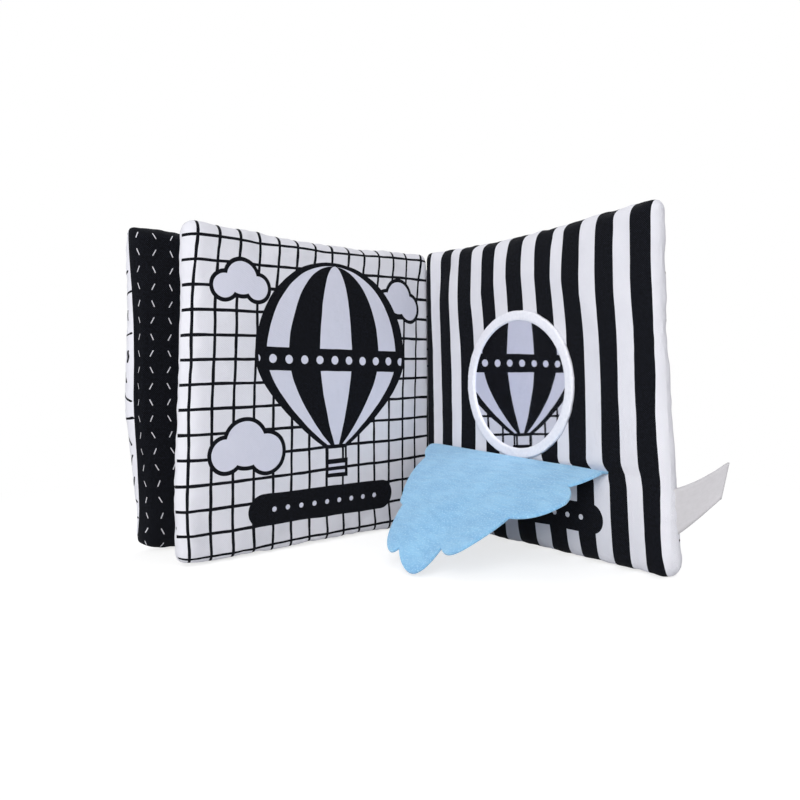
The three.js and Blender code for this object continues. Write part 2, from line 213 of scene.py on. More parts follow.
def drawn_outline(x, z, width, corner_radius, edge_draw_in, foot_draw_in, top_rise):
    """Rounds the leaf's corners and draws its sides in between them. The top stands up by
    top_rise, at the gutter and at the outer side."""
    in_x = np.minimum(x, width - x)
    in_z = np.minimum(z, leaf_height - z)
    corner = (in_x < corner_radius) & (in_z < corner_radius)
    a = 1 - in_x / corner_radius
    b = 1 - in_z / corner_radius
    round_x = corner_radius * (1 - a * np.sqrt(np.clip(1 - b * b / 2, 0, 1)))
    round_z = corner_radius * (1 - b * np.sqrt(np.clip(1 - a * a / 2, 0, 1)))
    in_x = np.where(corner, round_x, in_x)
    in_z = np.where(corner, round_z, in_z)
    across = x / width
    up = z / leaf_height
    bow_up = (4 * up * (1 - up)) ** 2
    bow_across = (4 * across * (1 - across)) ** 2
    draw_x = np.where(across < 0.5, 0, edge_draw_in * bow_up * (1 - 2 * across) ** draw_in_power)
    draw_z = np.where(up < 0.5, foot_draw_in, side_draw_in) * bow_across
    draw_z *= (1 - 2 * up) ** draw_in_power
    rise = top_rise[0] + (top_rise[1] - top_rise[0]) * across
    draw_z += rise * np.clip((up - rise_start) / (1 - rise_start), 0, 1) ** 2
    flat_x = np.where(across < 0.5, in_x, width - in_x)
    flat_z = np.where(up < 0.5, in_z, leaf_height - in_z)
    return flat_x + draw_x, flat_z + draw_z


def sewn_leaf(name, back, top_rise, width=leaf_width, corner=leaf_corner,
              edge_draw_in=side_draw_in, foot_draw_in=side_draw_in, dipped=False):
    """A closed cushion in the leaf's own frame: X from the gutter, Z up, and its back towards
    back on Y. A grid is extruded, shaped to the two faces and merged along its seam. Faces have
    material 0 in front below the flap's seam, 1 in front above it and 2 behind."""
    across, up = sections_across(width), places_up()
    columns, rows = len(across["x"]) - 1, len(up["z"]) - 1
    leaf = bare_grid(name, columns, rows)
    bpy.ops.object.mode_set(mode="EDIT")
    bpy.ops.mesh.extrude_region_move()
    bpy.ops.object.mode_set(mode="OBJECT")
    mesh = leaf.data
    places = coordinates(leaf)
    i = np.rint((places[:, 0] + 0.5) * columns).astype(int)
    j = np.rint((places[:, 1] + 0.5) * rows).astype(int)
    behind = np.array([vertex.select for vertex in mesh.vertices])

    x, z = across["x"][i], up["z"][j]
    square = np.where((z < edge_radius) & ~behind, foot_squareness, 1)
    stand = np.where(behind, across["back"][i], across["front"][i]) * up["round"][j] ** square
    stand += crown_rise * crown_share(x, width) * crown_share(z, leaf_height)
    if dipped:
        near = np.clip(1 - np.abs(z - flap_seam_height) / flap_seam_reach, 0, 1)
        stand -= np.where(behind, 0, flap_seam_dip * near**2 * crown_share(x, width))
    depth = across["seam"][i] + np.where(behind, 1, -1) * stand
    flat_x, flat_z = drawn_outline(x, z, width, corner, edge_draw_in, foot_draw_in, top_rise)
    height = np.maximum(flat_z - foot_cut, 0)
    set_coordinates(leaf, np.stack([flat_x, back * depth, height], axis=1))

    seam_row = int(np.argmin(np.abs(up["z"] - flap_seam_height)))
    for face in mesh.polygons:
        corners = list(face.vertices)
        face.material_index = 2 if behind[corners].all() else int(j[corners].min() >= seam_row)
    map_cloth(leaf, np.stack([across["flat"][i], up["flat"][j] + cloth_map_margin], axis=1))

    rim = (i == 0) | (i == columns) | (j == 0) | (j == rows)
    seam = leaf.vertex_groups.new(name="seam")
    seam.add([int(k) for k in np.nonzero(rim)[0]], 1, "REPLACE")
    bpy.ops.object.mode_set(mode="EDIT")
    bpy.ops.mesh.select_all(action="SELECT")
    bpy.ops.mesh.remove_doubles(threshold=nearly_zero)
    bpy.ops.mesh.normals_make_consistent(inside=False)
    bpy.ops.object.mode_set(mode="OBJECT")
    return leaf


stuffing_pressure = 1.2
stuffing_frames = 20
stuffing_quality = 6
cloth_stiffness = 40
cloth_shear_stiffness = 20
cloth_bending_stiffness = 0.05
cloth_ease = 0.008
cover_ripple = 0.0004
cover_ripple_scale = 55
most_swell = 0.0016
gutter_hold = 0.018
gutter_least_swell = 0.1


def stuff(leaf, seed):
    """Blows the sewn cover up over its wadding. The seam is held, the cloth is a little larger
    than its outline, as it is when it's eased on, and no point moves further than most_swell."""
    shaped = coordinates(leaf)
    ripple = lumps(shaped, cover_ripple_scale, seed) * cover_ripple
    set_coordinates(leaf, shaped + vertex_normals(leaf) * ripple[:, None])
    make_active(leaf)
    cloth = leaf.modifiers.new("stuffing", "CLOTH")
    cloth.settings.quality = stuffing_quality
    cloth.settings.tension_stiffness = cloth_stiffness
    cloth.settings.compression_stiffness = cloth_stiffness
    cloth.settings.shear_stiffness = cloth_shear_stiffness
    cloth.settings.bending_stiffness = cloth_bending_stiffness
    cloth.settings.vertex_group_mass = "seam"
    cloth.settings.use_pressure = True
    cloth.settings.uniform_pressure_force = stuffing_pressure
    cloth.settings.shrink_min = -cloth_ease
    cloth.settings.effector_weights.gravity = 0
    cloth.point_cache.frame_end = stuffing_frames
    for step in range(1, stuffing_frames + 1):
        bpy.context.scene.frame_set(step)
    bpy.ops.object.modifier_apply(modifier=cloth.name)
    bpy.context.scene.frame_set(1)
    moved = coordinates(leaf) - shaped
    length = np.linalg.norm(moved, axis=1, keepdims=True)
    held = np.clip(shaped[:, :1] / gutter_hold, gutter_least_swell, 1) ** 2
    limit = most_swell * held
    set_coordinates(leaf, shaped + moved * limit / (limit + length))


seam_groove = 0.00012
seam_groove_width = 0.0009
pucker_depth = 0.0007
pucker_reach = 0.005
pucker_pitch = 0.0046
pucker_start = 0.0008
pucker_change = 60
page_ripple = 0.0003
page_ripple_scale = 42
page_ripple_start = 0.02
gutter_flat = 0.012
off_floor = 0.0001


def press_seams(leaf, seed, dents=()):
    """Subdivides the cover once, then sinks its seam and puckers the cloth beside it. A dent is
    a line or ring that sewing pulls in: a function from the leaf's points to their distance from
    it, with its depth and reach."""
    apply_modifier(leaf, "SUBSURF", levels=1, render_levels=1)
    points, normals = coordinates(leaf), vertex_normals(leaf)
    on_seam = np.array([
        any(group.weight > held_weight for group in vertex.groups)
        for vertex in leaf.data.vertices
    ])
    seam_points = points[on_seam]
    tree = KDTree(len(seam_points))
    for k, point in enumerate(seam_points):
        tree.insert(point, k)
    tree.balance()
    found = [tree.find(point) for point in points]
    away = np.array([hit[2] for hit in found])
    along = np.array([hit[0] for hit in found])
    pucker = np.array([
        noise.noise(Vector(place) / pucker_pitch + Vector((seed, away_here * pucker_change, 0)))
        for place, away_here in zip(along, away)
    ])
    ripple = lumps(points, page_ripple_scale, seed * 7)
    push = -seam_groove * np.exp(-(away / seam_groove_width) ** 2)
    fading = np.exp(-away / pucker_reach) * np.minimum(1, away / pucker_start)
    push += pucker_depth * pucker * fading
    push *= np.clip(points[:, 0] / gutter_flat, 0, 1)
    push += page_ripple * ripple * np.clip(away / page_ripple_start, 0, 1)
    for distance, depth, reach in dents:
        push -= depth * np.exp(-(distance(points) / reach) ** 2)
    points = points + normals * push[:, None]
    points[:, 2] = np.maximum(points[:, 2], off_floor)
    set_coordinates(leaf, points)


gutter_close = 0.0010
gutter_close_reach = 0.005
gutter_close_depth = 0.0022


def close_gutter(leaf, back):
    """Brings the page right up to the gutter line, where it's sewn to the other leaf."""
    points = coordinates(leaf)
    near = 1 - smooth_share(points[:, 0] / gutter_close_reach)
    near *= 1 - smooth_share(back * points[:, 1] / gutter_close_depth)
    points[:, 0] -= gutter_close * near
    set_coordinates(leaf, points)


def press_face(leaf, back, start, share):
    """Lets a face stand off its leaf only by a share of what it does past start, where another
    leaf lies on it. The front is at less than 0, and the back beyond the leaf's thickness."""
    points = coordinates(leaf)
    depth = back * points[:, 1]
    over = np.maximum(depth - start, 0) if start > 0 else np.minimum(depth - start, 0)
    points[:, 1] = back * (depth - over * (1 - share))
    set_coordinates(leaf, points)


def roll_seam(leaf, width, back, most_turn, belly, bow):
    """Rolls the outer seam towards the page, where the cloth behind it is full, so that a strip
    of that cloth shows past the page. The turn and the belly go with bow, from 0 to 1."""
    points = coordinates(leaf)
    centre = width - edge_radius
    out = points[:, 0] - centre
    depth = back * points[:, 1] - edge_radius
    turn = np.arctan2(depth, np.maximum(out, nearly_zero))
    reach = np.hypot(out, depth)
    roll = most_turn * bow
    quarter = math.pi / 2
    ahead = (turn + quarter) * (quarter - roll) / quarter - quarter
    turn = np.where(turn < 0, ahead, turn * (quarter + roll) / quarter - roll)
    reach = reach + belly * bow * np.cos(turn)
    rolled = out > 0
    points[:, 0] = np.where(rolled, centre + reach * np.cos(turn), points[:, 0])
    points[:, 1] = np.where(rolled, back * (edge_radius + reach * np.sin(turn)), points[:, 1])
    set_coordinates(leaf, points)


def leaf_matrix(pivot, turn, along):
    """Where a leaf lies: turned round the upright line at its pivot, and set off along itself."""
    place = Matrix.Translation(Vector(pivot)) @ Matrix.Rotation(math.radians(turn), 4, "Z")
    return place @ Matrix.Translation((along, 0, 0))


def cut_panel(leaf, name, face_kinds, place, print_shift=0):
    """One cloth of a stuffed leaf as a piece of its own, with its thickness on the inside. Its
    print may be cut further along, by print_shift."""
    panel = bpy.data.objects.new(name, leaf.data.copy())
    bpy.context.collection.objects.link(panel)
    panel.data.name = name
    shape = bmesh.new()
    shape.from_mesh(panel.data)
    others = [face for face in shape.faces if face.material_index not in face_kinds]
    bmesh.ops.delete(shape, geom=others, context="FACES")
    for face in shape.faces:
        face.material_index = 0
    shape.to_mesh(panel.data)
    shape.free()
    panel.vertex_groups.clear()
    for corner in panel.data.uv_layers["cloth"].data:
        corner.uv.x += print_shift / cloth_map_size
    apply_modifier(panel, "SOLIDIFY", thickness=cloth_thickness, offset=-1)
    make_active(panel)
    bpy.ops.object.shade_smooth_by_angle(angle=cloth_edge_angle)
    panel.data.transform(place)
    return panel


def finish_piece(piece, material, body, node_name):
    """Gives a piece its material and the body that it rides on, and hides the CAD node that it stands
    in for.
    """
    piece.data.materials.append(material)
    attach(piece, body)
    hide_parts(node_name)


wadding_depth = 0.0016
wadding_lumps = 0.0005
wadding_lump_scale = 90


def wadding_pad(leaf, name, place):
    """The filling: a closed pad just inside the covers, with its own lumps."""
    pad = bpy.data.objects.new(name, leaf.data.copy())
    bpy.context.collection.objects.link(pad)
    pad.data.name = name
    pad.data.materials.clear()
    for face in pad.data.polygons:
        face.material_index = 0
    points, normals = coordinates(pad), vertex_normals(pad)
    uneven = lumps(points, wadding_lump_scale)
    depth = wadding_depth + wadding_lumps * np.clip(uneven, -1, 0.5)
    points = points - normals * depth[:, None]
    points[:, 0] = np.maximum(points[:, 0], wadding_depth)
    points[:, 2] = np.maximum(points[:, 2], wadding_depth)
    set_coordinates(pad, points)
    smooth(pad)
    pad.data.transform(place)
    pad.vertex_groups.clear()
    return pad


def linear(colour):
    """An sRGB hex colour as linear red, green, blue and alpha."""
    parts = [int(colour[k:k + 2], 16) / 255 for k in (1, 3, 5)]
    return (*(c / 12.92 if c <= 0.04045 else ((c + 0.055) / 1.055) ** 2.4 for c in parts), 1)


def set_inputs(tree, target, inputs):
    """Sets a node's inputs to values, or links nodes or sockets to them, by place or name."""
    named = inputs.items() if isinstance(inputs, dict) else enumerate(inputs)
    for key, value in named:
        if isinstance(value, bpy.types.Node):
            value = value.outputs[0]
        if isinstance(value, bpy.types.NodeSocket):
            tree.links.new(value, target.inputs[key])
        else:
            target.inputs[key].default_value = value


def node(tree, kind, inputs=(), **settings):
    """Adds a shader node with its settings and its inputs."""
    added = tree.nodes.new("ShaderNode" + kind)
    for name, value in settings.items():
        setattr(added, name, value)
    set_inputs(tree, added, inputs)
    return added


def new_material(name):
    """An empty material, with its node tree and its shader."""
    material = bpy.data.materials.new(name)
    material.use_nodes = True
    return material, material.node_tree, material.node_tree.nodes["Principled BSDF"]


thread_pitch_mm = 0.85
ink_black = "#08090c"
ink_thread = "#323542"
cotton_white = "#e0e0e7"
cotton_shade = "#d6d6de"


def cotton(name, paint, ground=cotton_white, ground_shade=cotton_shade):
    """Plain-woven printed cotton: matt, with a faint nap. Its threads are about 0.35 mm apart
    and are drawn at 0.85 mm so that they show; the ink leaves a few thread tops paler."""
    material, tree, shader = new_material(name)
    flat = node(tree, "UVMap", uv_map="cloth")
    size = cloth_map_size * 1000
    margin = (0, -cloth_map_margin * 1000, 0)
    place = node(tree, "VectorMath", [flat, (size, size, size), margin], operation="MULTIPLY_ADD")
    threads = node(tree, "VectorMath", [place, (math.tau / thread_pitch_mm,) * 3], operation="MULTIPLY")
    turns = node(tree, "SeparateXYZ", [threads])
    weft = node(tree, "Math", [turns.outputs[0]], operation="SINE")
    warp = node(tree, "Math", [turns.outputs[1]], operation="SINE")
    weave = node(tree, "Math", [weft, warp], operation="MULTIPLY")
    slubs = node(tree, "TexNoise", {"Vector": place, "Scale": 0.9, "Detail": 2})
    fleck = node(tree, "Math", [weave, slubs], operation="MULTIPLY")
    thin = node(tree, "MapRange", {"Value": fleck, "From Min": 0.15, "From Max": 0.6})
    ink = node(tree, "MixRGB", [thin, linear(ink_black), linear(ink_thread)])
    soft = node(tree, "TexNoise", {"Vector": place, "Scale": 0.05, "Detail": 2})
    plain = node(tree, "MixRGB", [soft, linear(ground), linear(ground_shade)])
    colour = paint(tree, place, plain, ink)
    creases = node(tree, "TexNoise", {"Vector": place, "Scale": 0.16, "Detail": 3})
    drape = node(tree, "Bump", {"Strength": 0.35, "Distance": 0.0012, "Height": creases})
    grain = node(tree, "Bump", {
        "Strength": 0.5, "Distance": 0.00012, "Height": weave, "Normal": drape,
    })
    set_inputs(tree, shader, {
        "Base Color": colour, "Roughness": 0.86, "Specular IOR Level": 0.06,
        "Sheen Weight": 0.02, "Sheen Roughness": 0.5, "Normal": grain,
    })
    return material


def wobbled(tree, place, scale, amount):
    """The print as if drawn by hand: places shifted by a slow noise, in millimetres."""
    drift = node(tree, "TexNoise", {"Vector": place, "Scale": scale, "Detail": 2})
    centred = node(tree, "VectorMath", [drift.outputs[1], (0.5, 0.5, 0.5)], operation="SUBTRACT")
    scaled = node(tree, "VectorMath", [centred, (amount, amount, 0)], operation="MULTIPLY")
    return node(tree, "VectorMath", [place, scaled])


def inside_box(tree, place, left, right, low, high):
    """1 inside a rectangle and 0 outside, as in every mask here."""
    at = node(tree, "SeparateXYZ", [place])
    masks = []
    for axis, start, end in ((0, left, right), (1, low, high)):
        inputs = [at.outputs[axis], (start + end) / 2, (end - start) / 2]
        masks.append(node(tree, "Math", inputs, operation="COMPARE"))
    return node(tree, "Math", masks, operation="MULTIPLY")


def pill(tree, place, start, end, low, high):
    """A bar with round ends."""
    radius = (high - low) / 2
    middle = (low + high) / 2
    at = node(tree, "SeparateXYZ", [place])
    near = node(tree, "Clamp", {"Value": at.outputs[0], "Min": start + radius, "Max": end - radius})
    spine = node(tree, "CombineXYZ", [near, middle, 0])
    away = node(tree, "VectorMath", [place, spine], operation="DISTANCE")
    return node(tree, "Math", [away.outputs["Value"], radius], operation="LESS_THAN")


stripe_edges_mm = (
    3.6, 12.5, 21.5, 29.0, 39.8, 48.0, 57.1, 66.1, 76.3,
    85.3, 95.2, 102.4, 111.9, 121.0, 130.1, 138.7, 148.1,
)
low_stripe_shift_mm = (
    (0, -1.6), (14, -1.4), (21, -0.6), (30, 1.2), (47, 1.7), (66, 2.4), (76, 4.0),
    (95, 4.4), (112, 4.4), (121, 3.6), (130, 3.0), (139, 1.9), (149, 0.4), (158, 0),
)
low_shift_range_mm = (-2, 8)
low_shift_heights_mm = (33, 45)
stripe_range_mm = 160
stripe_lean_mm = 1.4
stripe_lean_heights_mm = (92, 125)
striped_pill_mm = (38, 122, 12.6, 25.6)
striped_dot_cells = (6, 15)
pill_dot_mm = 2.4
pill_dot_pitch_mm = 7.6
dash_long_mm = 5.6
dash_wide_mm = 1.0
dash_pitch_mm = (10.2, 9.6)


def dashes(tree, place, pitch, long, wide, tilt):
    """One short round-ended dash in the middle of each cell. tilt is an angle to either side, in
    turn, or None where every dash lies its own way."""
    cells = node(tree, "VectorMath", [place, (*pitch, 1)], operation="DIVIDE")
    number = node(tree, "VectorMath", [cells], operation="FLOOR")
    inner = node(tree, "VectorMath", [cells, number], operation="SUBTRACT")
    centred = node(tree, "VectorMath", [inner, (0.5, 0.5, 0)], operation="SUBTRACT")
    local = node(tree, "VectorMath", [centred, (*pitch, 1)], operation="MULTIPLY")
    if tilt is None:
        dice = node(tree, "TexWhiteNoise", {"Vector": number}, noise_dimensions="2D")
        angle = node(tree, "Math", [dice, math.pi], operation="MULTIPLY")
    else:
        place_in = node(tree, "SeparateXYZ", [number])
        parity = node(tree, "Math", [place_in.outputs[0], place_in.outputs[1]])
        other = node(tree, "Math", [parity, 2], operation="FLOORED_MODULO")
        angle = node(tree, "Math", [other, 2 * tilt, -tilt], operation="MULTIPLY_ADD")
    turned = node(tree, "VectorRotate", {"Vector": local, "Angle": angle}, rotation_type="Z_AXIS")
    straight = max((long - wide) / 2, 0)
    at = node(tree, "SeparateXYZ", [turned])
    along = node(tree, "Clamp", {"Value": at.outputs[1], "Min": -straight, "Max": straight})
    spine = node(tree, "CombineXYZ", [0, along, 0])
    away = node(tree, "VectorMath", [turned, spine], operation="DISTANCE")
    return node(tree, "Math", [away.outputs["Value"], wide / 2], operation="LESS_THAN")


def pill_dots(tree, place, cells, low, high):
    """A row of round dots along a bar, from one cell's number to another's."""
    spots = dashes(tree, place, (pill_dot_pitch_mm, low + high), pill_dot_mm, pill_dot_mm, 0)
    left, right = (cell * pill_dot_pitch_mm for cell in cells)
    row = inside_box(tree, place, left, right, low, high)
    return node(tree, "Math", [spots, row], operation="MULTIPLY")


def scattered_print(tree, place, plain, ink):
    """Short black dashes that lie every way on white."""
    drawn = wobbled(tree, place, 0.08, 5.0)
    mark = dashes(tree, drawn, dash_pitch_mm, dash_long_mm, dash_wide_mm, None)
    return node(tree, "MixRGB", [mark, plain, ink])


def striped_print(tree, place, plain, ink):
    """Uprights about 9 mm wide that lean a little, and a black bar with dots below the seam.
    Below the seam the uprights lie a few millimetres further out."""
    drawn = wobbled(tree, place, 0.045, 0.7)
    at = node(tree, "SeparateXYZ", [drawn])
    lean_start, lean_end = stripe_lean_heights_mm
    lean = node(tree, "MapRange", {
        "Value": at.outputs[1], "From Min": lean_start, "From Max": lean_end,
        "To Min": stripe_lean_mm, "To Max": 0,
    }, interpolation_type="SMOOTHSTEP")
    upright = node(tree, "Math", [at.outputs[0], lean], operation="SUBTRACT")

    share = node(tree, "Math", [at.outputs[0], stripe_range_mm], operation="DIVIDE")
    shift = node(tree, "ValToRGB", [share])
    ramp = shift.color_ramp
    least, most = low_shift_range_mm
    for k, (across, moved) in enumerate(low_stripe_shift_mm):
        stop = ramp.elements.new(across / stripe_range_mm) if k else ramp.elements[0]
        stop.color = ((moved - least) / (most - least),) * 3 + (1,)
    ramp.elements.remove(ramp.elements[len(ramp.elements) - 1])
    moved = node(tree, "Math", [shift, most - least, least], operation="MULTIPLY_ADD")
    low_start, low_end = low_shift_heights_mm
    below = node(tree, "MapRange", {
        "Value": at.outputs[1], "From Min": low_start, "From Max": low_end, "To Min": 1, "To Max": 0,
    }, interpolation_type="SMOOTHSTEP")
    moved_here = node(tree, "Math", [moved, below], operation="MULTIPLY")
    upright = node(tree, "Math", [upright, moved_here], operation="SUBTRACT")

    across = node(tree, "Math", [upright, stripe_range_mm], operation="DIVIDE")
    stripes = node(tree, "ValToRGB", [across])
    ramp = stripes.color_ramp
    ramp.interpolation = "CONSTANT"
    ramp.elements.remove(ramp.elements[1])
    ramp.elements[0].color = (1, 1, 1, 1)
    for k, edge in enumerate(stripe_edges_mm):
        shade = float(k % 2)
        ramp.elements.new(edge / stripe_range_mm).color = (shade, shade, shade, 1)
    start, end, low, high = striped_pill_mm
    bar = pill(tree, drawn, start, end, low, high)
    black = node(tree, "Math", [stripes, bar], operation="MAXIMUM")
    dots = pill_dots(tree, drawn, striped_dot_cells, low, high)
    colour = node(tree, "MixRGB", [black, plain, ink])
    return node(tree, "MixRGB", [dots, colour, plain])


def fibre(name):
    """Polyester wadding: white, matt and cloudy with fine loose fibre."""
    material, tree, shader = new_material(name)
    at = node(tree, "TexCoord").outputs["Object"]
    fluff = node(tree, "TexNoise", {"Vector": at, "Scale": 900, "Detail": 6})
    colour = node(tree, "MixRGB", [fluff, linear("#e4e4e0"), linear("#f4f4f2")])
    bump = node(tree, "Bump", {"Strength": 0.6, "Distance": 0.0006, "Height": fluff})
    set_inputs(tree, shader, {"Base Color": colour, "Roughness": 0.95, "Normal": bump})
    return material


striped_turn = -54.9
gutter = Vector(joints["page_hinge"]["pos_m"])
striped_place = leaf_matrix(gutter, striped_turn, gutter_gap)
mirror_centre = Vector((0.0727, 0, 0.0766))
mirror_sewn_radius = 0.0335
mirror_dent = (0.0007, 0.004)
flap_dent = (0.0009, 0.0016)
flap_seam_end = 0.122
flap_seam_slack = 0.0025
flap_seam_slack_run = 0.008
striped_top_rise = (0.0028, 0.0022)
striped_foot_draw_in = 0.0003

striped_leaf = sewn_leaf(
    "striped_leaf", 1, top_rise=striped_top_rise, foot_draw_in=striped_foot_draw_in, dipped=True
)
stuff(striped_leaf, seed=3)


def from_mirror_seam(points):
    """How far points on the striped page lie from the mirror ring's stitching."""
    out = np.hypot(points[:, 0] - mirror_centre.x, points[:, 2] - mirror_centre.z)
    return np.where(points[:, 1] < edge_radius, out - mirror_sewn_radius, 1)


def from_flap_seam(points):
    """How far points lie from the seam that holds the flap. It's slack past the flap's end."""
    slack = flap_seam_slack * smooth_share((points[:, 0] - flap_seam_end) / flap_seam_slack_run)
    away = np.abs(points[:, 2] - (flap_seam_height - foot_cut)) + slack
    return np.where(points[:, 1] < edge_radius, away, 1)


striped_dents = [(from_mirror_seam, *mirror_dent), (from_flap_seam, *flap_dent)]
press_seams(striped_leaf, seed=3, dents=striped_dents)
close_gutter(striped_leaf, 1)
striped_roll = math.radians(24)
striped_belly = 0.0022
belly_top, belly_fade, belly_foot = 0.118, 0.06, 0.008
roll_top, roll_fade, roll_least = 0.045, 0.03, 0.4
height = coordinates(striped_leaf)[:, 2]
fullness = smooth_share((belly_top - height) / belly_fade)
fullness = fullness * np.sqrt(np.clip(height / belly_foot, 0, 1))
roll_share = roll_least + (1 - roll_least) * smooth_share((roll_top - height) / roll_fade)
roll_seam(striped_leaf, leaf_width, 1, striped_roll, 0, fullness * roll_share)
roll_seam(striped_leaf, leaf_width, 1, 0, striped_belly, fullness)
mirror_flat_radius = 0.0375
mirror_ease_radius = 0.018
page_swell = 0.0011
points = coordinates(striped_leaf)
out = np.hypot(points[:, 0] - mirror_centre.x, points[:, 2] - mirror_centre.z)
ease = np.maximum(out - mirror_flat_radius, 0) / mirror_ease_radius
points[:, 1] = np.maximum(points[:, 1], -page_swell - ease**2 * page_swell)
set_coordinates(striped_leaf, points)
striped_cotton = cotton("striped_cotton", striped_print)
dashed_cotton = cotton("white_dashed_cotton", scattered_print)
wadding = fibre("polyester_wadding")

lower = cut_panel(striped_leaf, "striped_page_lower", (0,), striped_place)
finish_piece(lower, striped_cotton, "back_cover", "striped_panel_lower")
upper = cut_panel(striped_leaf, "striped_page_upper", (1,), striped_place)
finish_piece(upper, striped_cotton, "back_cover", "striped_panel_upper")
back = cut_panel(striped_leaf, "back_cover_cloth", (2,), striped_place)
finish_piece(back, dashed_cotton, "back_cover", "back_cover_outer_cloth")

back_filling = wadding_pad(striped_leaf, "back_cover_filling", striped_place)
finish_piece(back_filling, wadding, "back_cover", "back_cover_wadding")
bpy.data.objects.remove(striped_leaf)


# Mirror. A round of silvered film lies on the striped page under a ring of white bias tape, which
# is folded over its edge and sewn down with white thread. The film is flat but not quite smooth.
ring_radius = 0.033
ring_band = 0.005
ring_height = 0.0016
ring_seat = 0.0013
ring_flatness = 1.5
ring_top_share = 0.88
ring_under = 0.0002
gather_turns, fine_gather_turns = 9, 30
fine_gather_across = 400
gather_width = 0.05
gather_out = 0.00012
fine_gather_out = 0.0001
fine_gather_height = 0.00016
film_wave = 0.00025


def silvered_film(name):
    """Metallised polyester film: a clear, very slightly wavy mirror, a little grey."""
    material, tree, shader = new_material(name)
    at = node(tree, "TexCoord").outputs["Object"]
    cloudy = node(tree, "TexNoise", {"Vector": at, "Scale": 60, "Detail": 2})
    colour = node(tree, "MixRGB", [cloudy, linear("#f0f1f9"), linear("#f8f8fd")])
    waves = node(tree, "TexNoise", {"Vector": at, "Scale": 26, "Detail": 1})
    bump = node(tree, "Bump", {"Strength": 0.25, "Distance": film_wave, "Height": waves})
    set_inputs(tree, shader, {
        "Base Color": colour, "Metallic": 1, "Roughness": 0.025, "Normal": bump,
    })
    return material


def bias_tape(name):
    """White bias-cut cotton tape: a fine weave that runs aslant, and a soft matt face."""
    material, tree, shader = new_material(name)
    at = node(tree, "TexCoord").outputs["Object"]
    slant = node(tree, "Mapping", {"Vector": at, "Rotation": (0.6, 0.4, 0.8)})
    weave = node(tree, "TexWave", {"Vector": slant, "Scale": 900, "Distortion": 1.5})
    fluff = node(tree, "TexNoise", {"Vector": at, "Scale": 700, "Detail": 4})
    tint = node(tree, "MixRGB", [fluff, linear("#d8d9e4"), linear("#f2f2f8")])
    nap = node(tree, "Bump", {"Strength": 0.5, "Distance": 0.0002, "Height": fluff})
    fine = node(tree, "Bump", {"Strength": 0.3, "Distance": 0.0001, "Height": weave, "Normal": nap})
    set_inputs(tree, shader, {
        "Base Color": tint, "Roughness": 0.88, "Sheen Weight": 0.15, "Normal": fine,
    })
    return material


def sewing_thread(name, colour, shade):
    """Spun polyester thread, two-ply. Its white colour is painted lighter and darker in bands along its
    twist: painted shade standing for the grooves between the plies.
    """
    material, tree, shader = new_material(name)
    at = node(tree, "TexCoord").outputs["Object"]
    twist = node(tree, "TexWave", {"Vector": at, "Scale": 700, "Distortion": 2})
    # painted shade: the darker colour marks where the twist's grooves fall into shade
    tint = node(tree, "MixRGB", [twist, linear(shade), linear(colour)])
    set_inputs(tree, shader, {"Base Color": tint, "Roughness": 0.7})
    return material


film = frame["nodes"]["mirror_film"]
film.data.materials.clear()
film.data.materials.append(silvered_film("silvered_film"))

white_tape = bias_tape("white_bias_tape")
white_thread = sewing_thread("white_thread", "#f0f0f4", "#cfd0d8")
stitch_length = 0.0021
stitch_radius = 0.00019
stitch_sides, stitch_rings = 8, 6


def stitches(name, places, material, body):
    """A row of machine stitches as one piece. One is modelled and the rest are copies of it.
    places are (point, direction) pairs in the row frame."""
    deselect_all()
    bpy.ops.mesh.primitive_uv_sphere_add(segments=stitch_sides, ring_count=stitch_rings, radius=1)
    first = bpy.context.object
    first.data.transform(Matrix.Diagonal((stitch_length / 2, stitch_radius, stitch_radius, 1)))
    copies = []
    for point, along in places:
        copy = first.copy()
        copy.data = first.data.copy()
        turn = Vector(along).to_track_quat("X", "Z").to_matrix().to_4x4()
        copy.data.transform(Matrix.Translation(Vector(point)) @ turn)
        bpy.context.collection.objects.link(copy)
        copies.append(copy)
    bpy.data.objects.remove(first)
    deselect_all()
    for copy in copies:
        copy.select_set(True)
    bpy.context.view_layer.objects.active = copies[0]
    bpy.ops.object.join()
    row = bpy.context.object
    row.name = name
    row.data.name = name
    bpy.ops.object.shade_smooth()
    row.data.materials.append(material)
    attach(row, body)


def gathers(around, turns, across):
    """How bias tape gathers round a curve: a noise at each turn round the ring and place across."""
    return np.array([
        noise.noise(Vector((math.cos(a) * turns, math.sin(a) * turns, b)))
        for a, b in zip(around, across)
    ])


ring_turn_steps, ring_band_steps = 240, 20
mirror_place = striped_place @ Matrix.Translation(mirror_centre + Vector((0, -ring_seat, 0)))
mirror_place = mirror_place @ Matrix.Rotation(math.pi / 2, 4, "X")
deselect_all()
bpy.ops.mesh.primitive_torus_add(
    major_radius=ring_radius, minor_radius=ring_band / 2,
    major_segments=ring_turn_steps, minor_segments=ring_band_steps,
)
ring = bpy.context.object
ring.name = "mirror_ring"
ring.data.name = "mirror_ring"
points = coordinates(ring)
around = np.arctan2(points[:, 1], points[:, 0])
out = np.hypot(points[:, 0], points[:, 1]) - ring_radius
rise = points[:, 2] / (ring_band / 2)
gather = gathers(around, gather_turns, np.full(len(around), 3))
fine_gather = gathers(around, fine_gather_turns, out * fine_gather_across)
flat_top = np.minimum(np.abs(rise) * ring_flatness, 1) ** 0.5
height = np.where(rise > 0, flat_top * ring_height * ring_top_share, rise * ring_under)
height += np.where(rise > 0, fine_gather * fine_gather_height * rise, 0)
reach = ring_radius + out * (1 + gather_width * gather)
reach += gather_out * gather + fine_gather_out * fine_gather
set_coordinates(ring, np.stack([reach * np.cos(around), reach * np.sin(around), height], axis=1))
bpy.ops.object.shade_smooth()
ring.data.transform(mirror_place)
finish_piece(ring, white_tape, "back_cover", "mirror_binding_ring")

